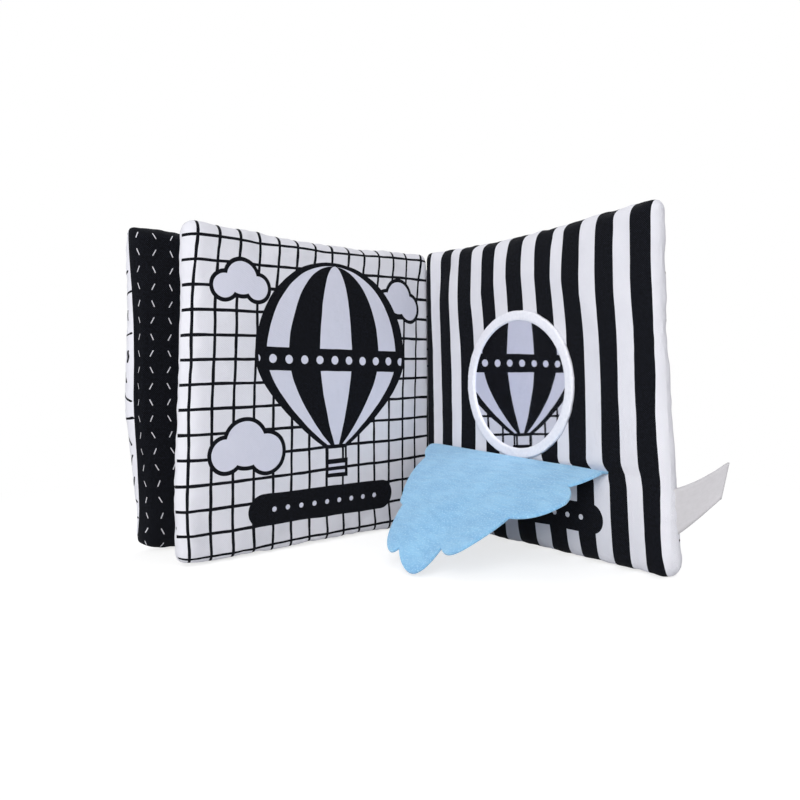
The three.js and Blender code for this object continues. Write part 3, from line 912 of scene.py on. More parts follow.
sewn_inset = 0.0014
sewn_height_share = 0.76
sewn_count = 76
sewn_radius = ring_radius - sewn_inset
sewn_height = ring_height * sewn_height_share
ring_rows = []
for k in range(sewn_count):
    turn = math.tau * k / sewn_count
    spot = Vector((sewn_radius * math.cos(turn), sewn_radius * math.sin(turn), sewn_height))
    way = Vector((-math.sin(turn), math.cos(turn), 0))
    ring_rows.append((mirror_place @ spot, mirror_place.to_3x3() @ way))
stitches("mirror_ring_stitches", ring_rows, white_thread, "back_cover")


# Flap. A single layer of light blue velour, cut with scallops like a cloud's edge. Its hem is
# sewn into the seam across the striped page, and it folds there and hangs over the lower page.
fold_place = Vector(joints["flap_hinge"]["pos_m"])
fold_along = -Vector(joints["flap_hinge"]["axis"])
page_back = striped_place.to_3x3() @ Vector((0, 1, 0))
fold_up = fold_along.cross(page_back)
flap_matrix = Matrix((fold_along, page_back, fold_up)).transposed().to_4x4()
flap_matrix.translation = fold_place
flap_thickness = 0.0011
flap_start_angle = math.radians(-17)
flap_end_angle = math.radians(-40.5)
flap_reach = 0.083
flap_fold_length = 0.1248
flap_centre = 0.080
scallop_steps = 14
scallops = (
    ((0.1195, 0.0163), (0.1250, 0.0088)),
    ((0.1278, 0.0275), (0.1262, 0.0196)),
    ((0.1108, 0.0435), (0.1257, 0.0401)),
    ((0.1065, 0.0617), (0.1110, 0.0530)),
    ((0.0925, 0.0673), (0.1010, 0.0735)),
    ((0.0895, 0.0818), (0.0944, 0.0785)),
    ((0.0722, 0.0745), (0.0835, 0.0845)),
    ((0.0680, 0.0775), (0.0715, 0.0787)),
    ((0.0488, 0.0525), (0.0565, 0.0715)),
    ((0.0425, 0.0478), (0.0450, 0.0525)),
    ((0.0225, 0.0158), (0.0285, 0.0332)),
    ((0.0098, 0.0025), (0.0125, 0.0095)),
    ((0.0150, 0), (0.0092, 0)),
)
flap_rings = 30
flap_bevel = 0.0003
flute_count = 11
flute_height = 0.0006
sway_height = 0.0008
sway_scale = 40


def velour(name, colour, shade, light):
    """Short-pile knitted velour: very matt, with pale flecks of pile and a soft sheen."""
    material, tree, shader = new_material(name)
    flat = node(tree, "UVMap", uv_map="cloth")
    size = cloth_map_size * 1000
    place = node(tree, "VectorMath", [flat, (size, size, size)], operation="MULTIPLY")
    pile = node(tree, "TexNoise", {"Vector": place, "Scale": 1.3, "Detail": 3})
    knit = node(tree, "TexVoronoi", {"Vector": place, "Scale": 1.1})
    cloudy = node(tree, "TexNoise", {"Vector": place, "Scale": 0.07, "Detail": 3})
    brushed_at = node(tree, "VectorMath", [place, (0.3, 1, 1)], operation="MULTIPLY")
    brushed = node(tree, "TexNoise", {"Vector": brushed_at, "Scale": 0.4, "Detail": 4})
    patchy = node(tree, "Math", [cloudy, brushed])
    patchy = node(tree, "MapRange", {"Value": patchy, "From Min": 0.8, "From Max": 1.2})
    base = node(tree, "MixRGB", [patchy, linear(shade), linear(colour)])
    flecks = node(tree, "MapRange", {"Value": pile, "From Min": 0.5, "From Max": 0.7})
    tint = node(tree, "MixRGB", [flecks, base, linear(light)])
    loops = node(tree, "Bump", {"Strength": 0.35, "Distance": 0.0003, "Height": knit.outputs[0]})
    nap = node(tree, "Bump", {"Strength": 0.5, "Distance": 0.0003, "Height": pile, "Normal": loops})
    nap = node(tree, "Bump", {"Strength": 0.5, "Distance": 0.0012, "Height": brushed, "Normal": nap})
    set_inputs(tree, shader, {
        "Base Color": tint, "Roughness": 0.95, "Specular IOR Level": 0.15, "Sheen Weight": 0.25,
        "Sheen Roughness": 0.6, "Subsurface Weight": 0.3, "Subsurface Radius": (1, 1, 1),
        "Subsurface Scale": 0.0015, "Normal": nap,
    })
    return material


def bent(start, bend, end, steps):
    """Points of a quadratic curve, without its start."""
    share = np.linspace(0, 1, steps + 1)[1:, None]
    start, bend, end = (np.array(p) for p in (start, bend, end))
    return (1 - share) ** 2 * start + 2 * share * (1 - share) * bend + share**2 * end


def drooped(along, down, off):
    """A point of the flap in its own frame: how far along the fold and from it, and how far off
    its middle. The flap bends evenly from its start angle to its end angle."""
    rate = (flap_end_angle - flap_start_angle) / flap_reach
    turn = flap_start_angle + rate * down
    out = (np.sin(turn) - math.sin(flap_start_angle)) / rate - off * np.sin(turn)
    up = (math.cos(flap_start_angle) - np.cos(turn)) / rate + off * np.cos(turn)
    return np.stack([along, -out, up], axis=1)


start = (flap_fold_length, 0.0)
edge = [np.array([start])]
for end, bend in scallops:
    edge.append(bent(start, bend, end, scallop_steps))
    start = end
edge = np.concatenate(edge)
shares = np.linspace(0, 1, flap_rings + 1)[1:]
centre = np.array([flap_centre, 0.0])
flat = np.concatenate([[centre], *(centre + (edge - centre) * share for share in shares)])
hang = flat[:, 1] / flap_reach
turn_of = np.arctan2(flat[:, 1], flat[:, 0] - flap_centre)
flutes = np.cos(turn_of * flute_count) * hang**2
sway = np.array([noise.noise(Vector((*(p * sway_scale), 5))) for p in flat])
lift = flute_height * flutes + sway_height * sway * hang
points = drooped(flat[:, 0], flat[:, 1], lift)
count = len(edge)
faces = [(0, 1 + k, 2 + k) for k in range(count - 1)]
for ring_number in range(flap_rings - 1):
    first = 1 + ring_number * count
    for k in range(count - 1):
        faces.append((first + k, first + count + k, first + count + k + 1, first + k + 1))
flap_mesh = bpy.data.meshes.new("flap")
flap_mesh.from_pydata(points.tolist(), [], faces)
flap = bpy.data.objects.new("flap", flap_mesh)
bpy.context.collection.objects.link(flap)
map_cloth(flap, flat)
apply_modifier(flap, "SOLIDIFY", thickness=flap_thickness, offset=0)
apply_modifier(flap, "BEVEL", width=flap_bevel, segments=2, limit_method="ANGLE")
smooth(flap)
flap.data.transform(flap_matrix)
blue_velour = velour("blue_velour", "#8cc0e4", "#7bb0d9", "#a2ceec")
finish_piece(flap, blue_velour, "flap", "cloud_flap")

hem_columns, hem_rows = 60, 8
hem_ends = (0.0135, 0.1243)
hem_depths = (-0.0033, 0.001)
hem_bow = 0.0003
hem_settle = 0.72
hem_curve = 0.8
hem_ripple = 0.0003
hem_ripple_scale = 70
hem_map_size = (0.1155, 0.0099)
hem = bare_grid("flap_hem_cloth", hem_columns, hem_rows)
grid = coordinates(hem)
along = hem_ends[0] + (grid[:, 0] + 0.5) * (hem_ends[1] - hem_ends[0])
down = 0.5 - grid[:, 1]
slope = math.atan2(-fold_along.z, math.hypot(fold_along.x, fold_along.y))
fold_height = fold_place.z - np.tan(slope) * along
seam_z = flap_seam_height - foot_cut
hem_y = hem_depths[0] + down * (hem_depths[1] - hem_depths[0]) - np.sin(np.pi * down) * hem_bow
hem_z = fold_height + (seam_z - fold_height) * np.clip(down / hem_settle, 0, 1) ** hem_curve
ripple = np.array([noise.noise(Vector((a * hem_ripple_scale, 0, 8))) for a in along])
hem_z = hem_z + ripple * hem_ripple
set_coordinates(hem, np.stack([along, hem_y, hem_z], axis=1))
map_cloth(hem, (grid[:, :2] + 0.5) * hem_map_size)
apply_modifier(hem, "SOLIDIFY", thickness=flap_thickness, offset=0)
smooth(hem)
hem.data.transform(striped_place)
finish_piece(hem, blue_velour, "back_cover", "flap_hem")
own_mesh(flap)
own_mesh(hem)


# Label. A satin tape, folded in half, with both ends caught in the back cover's outer seam. It
# bends back and up from the seam, and it is bare.
label_place = Vector(joints["label_hinge"]["pos_m"])
label_bend_back = 66
label_turn = striped_turn + label_bend_back
label_matrix = Matrix.Translation(label_place) @ Matrix.Rotation(math.radians(label_turn), 4, "Z")
label_seam_height = 0.0182
label_end_height = 0.0141
label_top_length = 0.0255
label_foot_length = 0.0202
label_rise = 0.0136
label_gap = 0.0009
label_tape_thickness = 0.00035
label_columns, label_rows = 46, 12
label_fold_share = 0.06
label_curl = 0.0016
label_curl_middle = 0.4
label_sag = 0.0006
label_rise_power = 1.15
label_map_length = 0.05
label_rib_pitch_mm = 1.6


def satin(name):
    """Woven polyester satin: smooth and a little glossy along the tape, with fine cross ribs."""
    material, tree, shader = new_material(name)
    flat = node(tree, "UVMap", uv_map="cloth")
    size = cloth_map_size * 1000
    place = node(tree, "VectorMath", [flat, (size, size, size)], operation="MULTIPLY")
    at = node(tree, "SeparateXYZ", [place])
    rib_turn = node(tree, "Math", [at.outputs[1], math.tau / label_rib_pitch_mm], operation="MULTIPLY")
    ribs = node(tree, "Math", [rib_turn], operation="SINE")
    cloudy = node(tree, "TexNoise", {"Vector": place, "Scale": 0.5, "Detail": 3})
    lined = node(tree, "MapRange", {"Value": ribs, "From Min": 0.6, "From Max": 1, "To Max": 0.06})
    base = node(tree, "MixRGB", [cloudy, linear("#bcbabd"), linear("#cac8cc")])
    tint = node(tree, "MixRGB", [lined, base, linear("#b0aeb4")])
    bump = node(tree, "Bump", {"Strength": 0.1, "Distance": 0.0001, "Height": ribs})
    set_inputs(tree, shader, {
        "Base Color": tint, "Roughness": 0.48, "Specular IOR Level": 0.4, "Anisotropic": 0.4,
        "Normal": bump,
    })
    return material


label = bare_grid("edge_label", label_columns, label_rows)
grid = coordinates(label)
run = grid[:, 0] * 2
height_share = grid[:, 1] + 0.5
side = np.clip(run / label_fold_share, -1, 1)
share = np.clip((1 - np.abs(run)) / (1 - label_fold_share), 0, 1)
tip = np.cos(side * math.pi / 2)
length = label_foot_length + (label_top_length - label_foot_length) * height_share
tape_height = label_seam_height + (label_end_height - label_seam_height) * share
curl = label_curl * share**2 * (height_share - label_curl_middle)
x = length * share + tip * label_gap / 2
y = np.sin(side * math.pi / 2) * label_gap / 2 + curl
z = label_rise * share**label_rise_power + tape_height * height_share
z -= label_sag * np.sin(np.pi * share) * height_share
set_coordinates(label, np.stack([x, y, z], axis=1))
map_cloth(label, (grid[:, :2] + 0.5) * (label_map_length, label_seam_height))
apply_modifier(label, "SOLIDIFY", thickness=label_tape_thickness, offset=0)
smooth(label)
label.data.transform(label_matrix)
finish_piece(label, satin("white_satin"), "label", "label_tape")


# Middle leaf. Its page is printed with a grid, a balloon, clouds and a dotted bar; the cloth
# behind it is white with dashes. It is stuffed as the back cover is, and a tape sews it to the spine.
middle_leaf_trim = 0.0032
middle_leaf_ease = 0.0012
grid_turn = 223.0
grid_place = leaf_matrix(gutter, grid_turn, gutter_gap)
grid_cell_mm = (10.25, 10.83)
grid_start_mm = (11.5, 5.35)
grid_slope = 0.024
grid_bend_mm = (
    (0, 2.4), (4, 2.2), (8, 1.7), (14, 0.8), (21, 0.3), (60, 0.3), (80, 1.2),
    (100, 2.1), (115, 2.3), (127, 3.2), (138, 5.0), (144, 6.2), (152, 7.0),
)
grid_bend_range_mm = (160, -2, 8)
grid_bend_shares = (1.2, 0.62)
grid_line_mm = 1.4
grid_line_change_mm = 0.2
grid_pill_mm = (29.5, 116.3, 13, 28)
grid_dot_cells = (5, 14)
balloon_centre_mm = (66.5, 92)
balloon_radius_mm = 45
balloon_tail_mm = 44
balloon_mouth_mm = 6
balloon_taper = 1.7
balloon_gores = 7
balloon_line_mm = 1.9
motif_white = "#d3d4e2"
basket_mm = (59.5, 73.5, 32, 41)
basket_side_mm = 1.8
basket_bands_mm = ((2, 3.4), (5.2, 6.6))
rope_inset_mm = 0.6
rope_mm = 1.3
balloon_band_mm = (84.5, 95.5)
balloon_dot_pitch_mm = (9, 12)
balloon_dot_mm = 4.2
cloud_puffs_mm = (
    ((107, 47, 8.5), (117.5, 51.5, 10), (127.5, 47, 7)),
    ((15, 119, 6.5), (23, 124, 8.5), (32, 120, 6.5)),
    ((112, 122, 5.5), (120, 126, 7.5), (128.5, 122, 5.5)),
)


def union(tree, parts):
    """The largest of some masks."""
    whole = parts[0]
    for part in parts[1:]:
        whole = node(tree, "Math", [whole, part], operation="MAXIMUM")
    return whole


def inside_round(tree, place, centre, radius):
    away = node(tree, "VectorMath", [place, (*centre, 0)], operation="DISTANCE")
    return node(tree, "Math", [away.outputs["Value"], radius], operation="LESS_THAN")


def grid_lines(tree, place):
    """Hand-drawn lines both ways. The rows sink a little away from the gutter, and the uprights
    bend towards it near the foot and the top, where the cloth was eased round."""
    drawn = wobbled(tree, place, 0.05, 1.0)
    from_start = node(tree, "VectorMath", [drawn, (*grid_start_mm, 0)], operation="SUBTRACT")
    at = node(tree, "SeparateXYZ", [from_start])
    place_at = node(tree, "SeparateXYZ", [place])
    height_range, least, most = grid_bend_range_mm
    share = node(tree, "Math", [place_at.outputs[1], height_range], operation="DIVIDE")
    shift = node(tree, "ValToRGB", [share])
    ramp = shift.color_ramp
    ramp.interpolation = "CARDINAL"
    ramp.elements.remove(ramp.elements[1])
    for k, (height, moved) in enumerate(grid_bend_mm):
        stop = ramp.elements.new(height / height_range) if k else ramp.elements[0]
        stop.color = ((moved - least) / (most - least),) * 3 + (1,)
    bend = node(tree, "Math", [shift, most - least, least], operation="MULTIPLY_ADD")
    inner, outer = grid_bend_shares
    fading = node(tree, "MapRange", {
        "Value": place_at.outputs[0], "From Max": leaf_width * 1000, "To Min": inner, "To Max": outer,
    })
    bend = node(tree, "Math", [bend, fading], operation="MULTIPLY")
    upright = node(tree, "Math", [at.outputs[0], bend])
    row = node(tree, "Math", [at.outputs[0], grid_slope, at.outputs[1]], operation="MULTIPLY_ADD")
    pen = node(tree, "TexNoise", {"Vector": place, "Scale": 0.11, "Detail": 1})
    thinnest = grid_line_mm / 2 - grid_line_change_mm
    half_line = node(tree, "Math", [pen, 2 * grid_line_change_mm, thinnest], operation="MULTIPLY_ADD")
    lines = []
    for line, cell in zip((upright, row), grid_cell_mm):
        away = node(tree, "Math", [line, cell / 2], operation="PINGPONG")
        lines.append(node(tree, "Math", [away, half_line], operation="LESS_THAN"))
    return union(tree, lines)


def balloon(tree, place, grow):
    """A hot-air balloon's envelope: 1 inside its outline grown by so much, and the place across
    it as a share of its half width."""
    centre_x, centre_z = balloon_centre_mm
    at = node(tree, "SeparateXYZ", [place])
    from_middle = node(tree, "Math", [at.outputs[0], centre_x], operation="SUBTRACT")
    up = node(tree, "Math", [at.outputs[1], centre_z], operation="SUBTRACT")
    radius = balloon_radius_mm + grow
    high = node(tree, "Math", [up, radius], operation="DIVIDE")
    low = node(tree, "Math", [up, -balloon_tail_mm - grow], operation="DIVIDE")
    high_squared = node(tree, "Math", [high, high], operation="MULTIPLY")
    high_left = node(tree, "Math", [1, high_squared], operation="SUBTRACT", use_clamp=True)
    high_half = node(tree, "Math", [high_left, 0.5], operation="POWER")
    high_width = node(tree, "Math", [high_half, radius], operation="MULTIPLY")
    low_power = node(tree, "Math", [low, balloon_taper], operation="POWER")
    low_left = node(tree, "Math", [1, low_power], operation="SUBTRACT", use_clamp=True)
    narrow = radius - balloon_mouth_mm
    low_width = node(tree, "Math", [low_left, narrow, balloon_mouth_mm], operation="MULTIPLY_ADD")
    on_top = node(tree, "Math", [up, 0], operation="GREATER_THAN")
    width = node(tree, "Mix", {0: on_top, "A": low_width, "B": high_width})
    width = node(tree, "Math", [width, 0.001], operation="MAXIMUM")
    above = node(tree, "Math", [up, -balloon_tail_mm - grow], operation="GREATER_THAN")
    share = node(tree, "Math", [from_middle, width], operation="DIVIDE")
    reach = node(tree, "Math", [share], operation="ABSOLUTE")
    within = node(tree, "Math", [reach, 1], operation="LESS_THAN")
    return node(tree, "Math", [within, above], operation="MULTIPLY"), share


def grid_print(tree, place, plain, ink):
    """The grid, with clouds, a balloon in black and white gores and a dotted bar over it."""
    drawn = wobbled(tree, place, 0.05, 1.2)
    lines = grid_lines(tree, place)
    colour = node(tree, "MixRGB", [lines, plain, ink])
    paper = linear(motif_white)

    rims, fills = [], []
    for puffs in cloud_puffs_mm:
        for x, z, radius in puffs:
            rims.append(inside_round(tree, drawn, (x, z), radius + balloon_line_mm))
            fills.append(inside_round(tree, drawn, (x, z), radius))
    colour = node(tree, "MixRGB", [union(tree, rims), colour, ink])
    colour = node(tree, "MixRGB", [union(tree, fills), colour, paper])

    outline = balloon(tree, drawn, balloon_line_mm)[0]
    envelope, share = balloon(tree, drawn, 0)
    angle = node(tree, "Math", [share], operation="ARCSINE")
    gore_share = [angle, balloon_gores / math.pi, balloon_gores / 2]
    counted = node(tree, "Math", gore_share, operation="MULTIPLY_ADD")
    number = node(tree, "Math", [counted], operation="FLOOR")
    white_gore = node(tree, "Math", [number, 2], operation="FLOORED_MODULO")
    band = inside_box(tree, drawn, 0, leaf_width * 1000, *balloon_band_mm)
    dark_band = node(tree, "Math", [1, band], operation="SUBTRACT")
    gores = node(tree, "Math", [white_gore, dark_band], operation="MULTIPLY")
    lit = node(tree, "Math", [envelope, gores], operation="MULTIPLY")
    dots = dashes(tree, drawn, balloon_dot_pitch_mm, balloon_dot_mm, balloon_dot_mm, 0)
    row = node(tree, "Math", [dots, band], operation="MULTIPLY")
    row_in = node(tree, "Math", [row, envelope], operation="MULTIPLY")
    light = node(tree, "Math", [lit, row_in], operation="MAXIMUM")

    left, right, low, high = basket_mm
    basket = inside_box(tree, drawn, left, right, low, high)
    weave_bands = [
        inside_box(tree, drawn, left + basket_side_mm, right - basket_side_mm, low + foot, low + top)
        for foot, top in basket_bands_mm
    ]
    rope_top = balloon_centre_mm[1] - balloon_tail_mm
    ropes = [
        inside_box(tree, drawn, x, x + rope_mm, high, rope_top)
        for x in (left + rope_inset_mm, right - rope_inset_mm - rope_mm)
    ]
    colour = node(tree, "MixRGB", [union(tree, [outline, basket, *ropes]), colour, ink])
    colour = node(tree, "MixRGB", [union(tree, [light, *weave_bands]), colour, paper])

    start, end, low, high = grid_pill_mm
    bar = pill(tree, drawn, start, end, low, high)
    colour = node(tree, "MixRGB", [bar, colour, ink])
    dots = pill_dots(tree, place, grid_dot_cells, low, high)
    return node(tree, "MixRGB", [dots, colour, paper])


middle_width = leaf_width - middle_leaf_trim - middle_leaf_ease
middle_top_rise = (0.0022, 0.0010)
middle_corner = 0.0055
middle_foot_draw_in = 0.001
pressed_start = 0.0004
pressed_share = 0.4
grid_leaf = sewn_leaf(
    "grid_leaf", -1, top_rise=middle_top_rise, width=middle_width, corner=middle_corner,
    edge_draw_in=0, foot_draw_in=middle_foot_draw_in,
)
stuff(grid_leaf, seed=11)
press_seams(grid_leaf, seed=11)
close_gutter(grid_leaf, -1)
press_face(grid_leaf, -1, 2 * edge_radius + pressed_start, pressed_share)
foot_corner_lift = 0.0013
foot_corner_height = 0.04
foot_corner_power = 5
edge_lean_power = 9
grid_edge_lean_mm = (
    (0, 1.2), (18, 1.4), (27, 2.5), (36, 2.2), (44, 1.6),
    (80, 0.6), (123, -0.3), (141, 0.2), (150, 0.2),
)
points = coordinates(grid_leaf)
outward = np.clip(points[:, 0] / middle_width, 0, 1)
lean = np.interp(points[:, 2] * 1000, *zip(*grid_edge_lean_mm)) / 1000
eased = lean * outward**edge_lean_power
points[:, 0] += eased
for loop, corner in zip(grid_leaf.data.loops, grid_leaf.data.uv_layers["cloth"].data):
    corner.uv.x += eased[loop.vertex_index] / cloth_map_size
foot_corner = np.clip(1 - points[:, 2] / foot_corner_height, 0, 1) ** 2
points[:, 2] += foot_corner_lift * outward**foot_corner_power * foot_corner
set_coordinates(grid_leaf, points)
page = cut_panel(grid_leaf, "grid_page", (0, 1), grid_place)
grid_cotton = cotton("grid_cotton", grid_print)
finish_piece(page, grid_cotton, "middle_leaf", "grid_panel")
rear_print_shift = 0.0055
rear = cut_panel(grid_leaf, "middle_leaf_cloth", (2,), grid_place, rear_print_shift)
finish_piece(rear, dashed_cotton, "middle_leaf", "middle_leaf_rear_cloth")
middle_filling = wadding_pad(grid_leaf, "middle_leaf_filling", grid_place)
finish_piece(middle_filling, wadding, "middle_leaf", "middle_leaf_wadding")
bpy.data.objects.remove(grid_leaf)


# Front cover leaf. Black cotton with white dashes inside and white cotton with black dashes
# outside, stuffed and sewn as the other two. It stands a little further back than the middle.
cover_turn = 215.2
cover_shift = 0.0058
cover_foot_twist = 3.2
cover_lift = 0.0003
cover_reach = 0.0019
cover_foot_tuck = 0.0078
cover_corner_lift = 0.004
cover_tuck_height = 0.078
cover_belly = -0.0006
cover_seam_roll = math.radians(58)
cover_pivot_depth = 0.0143
cover_corner_start = 0.9
cover_corner_height = 0.035
cover_top_rise = (0.0024, 0.0023)
cover_corner = 0.003
cover_print_shift = -0.0028
grid_axes = Matrix.Rotation(math.radians(grid_turn), 3, "Z")
cover_pivot = gutter + grid_axes @ Vector((0, -cover_pivot_depth, 0))
cover_place = leaf_matrix(cover_pivot, cover_turn, cover_shift)
white_dash_pitch_mm = (7.8, 7.6)
white_dash_long_mm = 3.2
white_dash_wide_mm = 0.44
white_dash_tilt = math.radians(26)
white_dash_start_mm = (3.0, 5.3)


def dashed_black_print(tree, place, plain, ink):
    """Rows of short white dashes on black, which lean one way and the other in turn."""
    drawn = wobbled(tree, place, 0.09, 0.6)
    started = node(tree, "VectorMath", [drawn, (*white_dash_start_mm, 0)], operation="SUBTRACT")
    sizes = (white_dash_pitch_mm, white_dash_long_mm, white_dash_wide_mm, white_dash_tilt)
    mark = dashes(tree, started, *sizes)
    return node(tree, "MixRGB", [mark, ink, plain])


def lean_cover(leaf):
    """The cover hangs from the spine: its outer corner is a little off the floor, and its foot
    is tucked back and in."""
    points = coordinates(leaf)
    up = np.clip(points[:, 2] / leaf_height, 0, 1)
    out = np.clip(points[:, 0] / leaf_width, 0, 1)
    low = np.clip(1 - points[:, 2] / cover_tuck_height, 0, 1)
    points[:, 0] += cover_reach * out**2 - cover_foot_tuck * out * smooth_share(low)
    corner = np.clip((out - cover_corner_start) / (1 - cover_corner_start), 0, 1)
    corner *= np.clip(1 - points[:, 2] / cover_corner_height, 0, 1)
    points[:, 2] += cover_lift * out + cover_corner_lift * corner**2
    turn = -math.radians(cover_foot_twist) * (1 - up) * out
    x, y = points[:, 0] + cover_shift, points[:, 1].copy()
    points[:, 0] = x * np.cos(turn) - y * np.sin(turn) - cover_shift
    points[:, 1] = x * np.sin(turn) + y * np.cos(turn)
    set_coordinates(leaf, points)


cover_leaf = sewn_leaf(
    "cover_leaf", -1, top_rise=cover_top_rise, corner=cover_corner, edge_draw_in=0
)
stuff(cover_leaf, seed=23)
press_seams(cover_leaf, seed=23)
press_face(cover_leaf, -1, -pressed_start, pressed_share)
up = np.clip(coordinates(cover_leaf)[:, 2] / leaf_height, 0, 1)
roll_seam(cover_leaf, leaf_width, -1, cover_seam_roll, cover_belly, 4 * up * (1 - up))
lean_cover(cover_leaf)
black_cotton = cotton("black_dashed_cotton", dashed_black_print, "#d8d8de", "#cfcfd6")
inner = cut_panel(cover_leaf, "front_cover_lining", (0, 1), cover_place)
finish_piece(inner, black_cotton, "front_cover", "front_cover_inner_cloth")
outer = cut_panel(cover_leaf, "front_cover_cloth", (2,), cover_place, cover_print_shift)
finish_piece(outer, dashed_cotton, "front_cover", "front_cover_outer_cloth")
cover_filling = wadding_pad(cover_leaf, "front_cover_filling", cover_place)
finish_piece(cover_filling, wadding, "front_cover", "front_cover_wadding")
bpy.data.objects.remove(cover_leaf)


# Spine. A strip of the covers' white dashed cotton joins the two covers behind the gutter, and
# a folded tape joins the middle leaf to it. The strip's ends are lapped on the covers and sewn.
spine_thickness = 0.001
spine_lap = 0.006
spine_middle_depth = 0.0106
spine_bulge = 0.0016
spine_foot = 0.0015
spine_top = 0.1435
spine_gap = 0.0003
spine_columns, spine_rows = 16, 70
spine_cloth_share = 0.8
spine_ripple = 0.00035
spine_ripple_across, spine_ripple_up = 3, 60
spine_middle = gutter + grid_axes @ Vector((0, -spine_middle_depth, 0))


def spine_seat(place, back):
    """Where the spine cloth's end lies on a cover's back, in the row frame."""
    tuck = float(quarter_round(spine_lap / gutter_back_tuck))
    face = gutter_seam_depth + (2 * edge_radius - gutter_seam_depth) * tuck
    return place @ Vector((spine_lap, back * (face + spine_gap + spine_thickness / 2), 0))


def spine_run(name, start, end, node_name):
    """One run of the spine cloth, bowed back a little, with the sheet's own slight ripples."""
    chord = end - start
    back = Vector((-chord.y, chord.x, 0)).normalized()
    bend = (start + end) / 2 + back * 2 * spine_bulge
    run = bare_grid(name, spine_columns, spine_rows)
    grid = coordinates(run)
    across = grid[:, 0] + 0.5
    share = across[:, None]
    ends = [np.array(p[:2]) for p in (start, bend, end)]
    path = (1 - share) ** 2 * ends[0] + 2 * share * (1 - share) * ends[1] + share**2 * ends[2]
    up = spine_foot + (grid[:, 1] + 0.5) * (spine_top - spine_foot)
    ripple = np.array([
        noise.noise(Vector((s * spine_ripple_across, z * spine_ripple_up, 2)))
        for s, z in zip(across, up)
    ])
    ripple *= spine_ripple * np.sin(np.pi * across)
    path = path + ripple[:, None] * np.array(back[:2])
    set_coordinates(run, np.column_stack([path, up]))
    map_cloth(run, np.column_stack([across * chord.length, up]))
    apply_modifier(run, "SOLIDIFY", thickness=spine_thickness * spine_cloth_share, offset=0)
    smooth(run)
    run.data.materials.append(dashed_cotton)
    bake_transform(run)
    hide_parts(node_name)


back_seat = spine_seat(striped_place, 1)
cover_seat = spine_seat(cover_place, -1)
spine_step = (cover_seat - back_seat).normalized() * spine_gap
spine_run(
    "spine_cloth_back", spine_middle - spine_step, back_seat,
    "spine_cloth_rear",
)
spine_run(
    "spine_cloth_cover", cover_seat, spine_middle + spine_step,
    "spine_cloth_front",
)

tape_thickness = 0.0008
tape_start = 0.0039
tape_end = 0.0088
tape_cuts = 20
tape_bevel = 0.0002
tape_ripple = 0.00025
tape_ripple_scale = (200, 60)
deselect_all()
bpy.ops.mesh.primitive_cube_add(size=1)
binding = bpy.context.object
binding.name = "gutter_binding"
binding.data.name = "gutter_binding"
tape_size = (tape_thickness, tape_end - tape_start, spine_top - spine_foot)
tape_middle = (0, -(tape_start + tape_end) / 2, (spine_top + spine_foot) / 2)
binding.data.transform(Matrix.Translation(tape_middle) @ Matrix.Diagonal((*tape_size, 1)))
bpy.ops.object.mode_set(mode="EDIT")
bpy.ops.mesh.select_all(action="SELECT")
bpy.ops.mesh.subdivide(number_cuts=tape_cuts)
bpy.ops.object.mode_set(mode="OBJECT")
apply_modifier(binding, "BEVEL", width=tape_bevel, segments=2, limit_method="ANGLE")
points = coordinates(binding)
ripple = [noise.noise(Vector((0, *(p[1:] * tape_ripple_scale)))) for p in points]
points[:, 0] += tape_ripple * np.array(ripple)
set_coordinates(binding, points)
bpy.ops.object.shade_smooth()
binding.data.transform(Matrix.Translation(gutter) @ grid_axes.to_4x4())
finish_piece(binding, white_tape, "middle_leaf", "gutter_tape")


# The studio: a pale paper floor that keeps the book's shadow and fades to white, soft boxes, and
# the camera at the photograph's place and angle.
camera_from_gutter = Vector((-0.015465, -0.404835, 0.07488))
camera_pitch = 0.0622
camera_roll = -0.0099
picture_size = 800
focal_pixels = 714.2
axis_row = 344.3
floor_glow = 0.72
floor_fade = (0.12, 0.34)
floor_size = 6
floor_height = -0.0002


def seen_rays(tree):
    """1 for the rays that show the backdrop: straight to the camera, by reflection or through."""
    rays = node(tree, "LightPath")
    names = ("Is Camera Ray", "Is Glossy Ray", "Is Transmission Ray")
    return union(tree, [rays.outputs[name] for name in names])


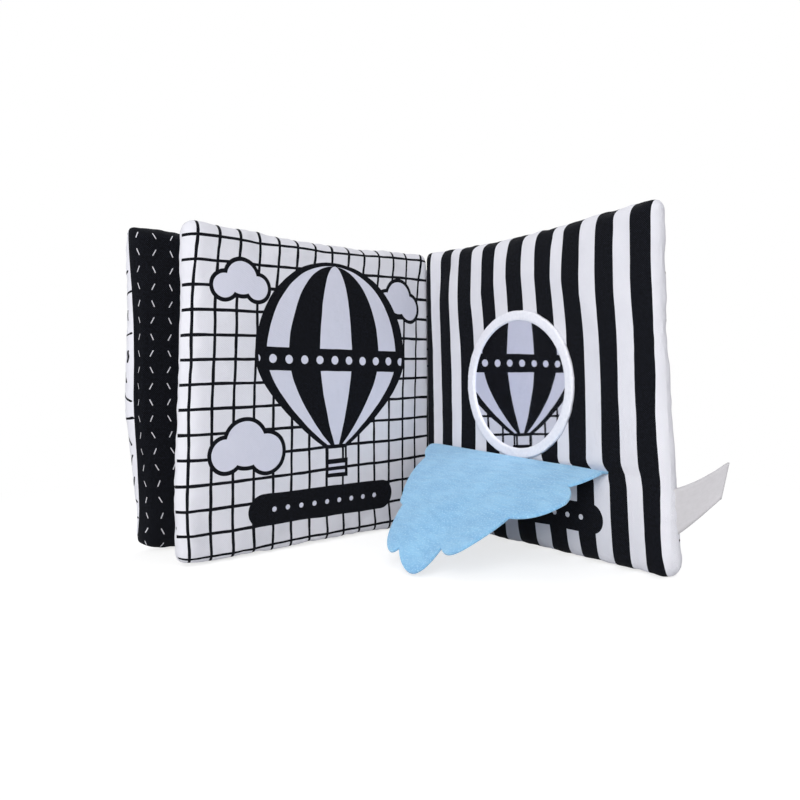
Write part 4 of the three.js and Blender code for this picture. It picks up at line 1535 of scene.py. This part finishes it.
deselect_all()
bpy.ops.mesh.primitive_plane_add(size=floor_size, location=(0, 0, floor_height))
floor = bpy.context.object
floor.name = "floor"
paper = bpy.data.materials.new("white_paper")
paper.use_nodes = True
tree = paper.node_tree
tree.nodes.clear()
glow = node(tree, "Emission", {"Strength": floor_glow})
matt = node(tree, "BsdfDiffuse", {"Color": (0.42, 0.42, 0.42, 1)})
both = node(tree, "AddShader", [glow, matt])
pale = node(tree, "BsdfDiffuse", {"Color": (0.8, 0.8, 0.8, 1)})
white_glow = node(tree, "Emission", {"Strength": 1})
at = node(tree, "TexCoord").outputs["Object"]
away = node(tree, "VectorMath", [at], operation="LENGTH")
fade = node(tree, "MapRange", {
    "Value": away.outputs["Value"], "From Min": floor_fade[0], "From Max": floor_fade[1],
}, interpolation_type="SMOOTHSTEP")
shown = node(tree, "MixShader", [fade, both, white_glow])
face = node(tree, "MixShader", [seen_rays(tree), pale, shown])
node(tree, "OutputMaterial", {"Surface": face})
floor.data.materials.append(paper)

world = bpy.data.worlds.new("studio")
world.use_nodes = True
tree = world.node_tree
tree.nodes.clear()
white = node(tree, "Background", {"Color": (1, 1, 1, 1), "Strength": 1})
fill = node(tree, "Background", {"Color": (0.985, 0.987, 1, 1), "Strength": 0.4})
face = node(tree, "MixShader", [seen_rays(tree), fill, white])
node(tree, "OutputWorld", {"Surface": face})
bpy.context.scene.world = world


def soft_lamp(name, place, target, size, power):
    """A large square soft box, aimed at a point."""
    lamp = bpy.data.lights.new(name, "AREA")
    lamp.size = size
    lamp.energy = power
    holder = bpy.data.objects.new(name, lamp)
    aim = (Vector(target) - Vector(place)).to_track_quat("-Z", "Y").to_matrix().to_4x4()
    holder.matrix_world = Matrix.Translation(Vector(place)) @ aim
    bpy.context.collection.objects.link(holder)


soft_lamp("key", place=(-0.36, -1.22, 0.78), target=(0, 0, 0.07), size=1.0, power=12.7)
soft_lamp("low", place=(-0.30, -1.05, 0.12), target=(0, 0, 0.05), size=0.6, power=3.4)
soft_lamp("top", place=(0.0, 0.1, 1.4), target=(0, 0, 0.0), size=1.0, power=2.4)
soft_lamp("back", place=(0.2, 1.3, 0.9), target=(0, 0, 0.07), size=1.2, power=6)

camera = bpy.data.cameras.new("camera")
camera.sensor_width = 36
camera.lens = focal_pixels / picture_size * camera.sensor_width
camera.shift_y = (axis_row - picture_size / 2) / picture_size
camera.clip_start = 0.01
viewer = bpy.data.objects.new("camera", camera)
look = Matrix.Rotation(math.pi / 2 + camera_pitch, 4, "X") @ Matrix.Rotation(camera_roll, 4, "Z")
viewer.matrix_world = Matrix.Translation(gutter + camera_from_gutter) @ look
bpy.context.collection.objects.link(viewer)
bpy.context.scene.camera = viewer
bpy.context.scene.view_settings.view_transform = "Standard"
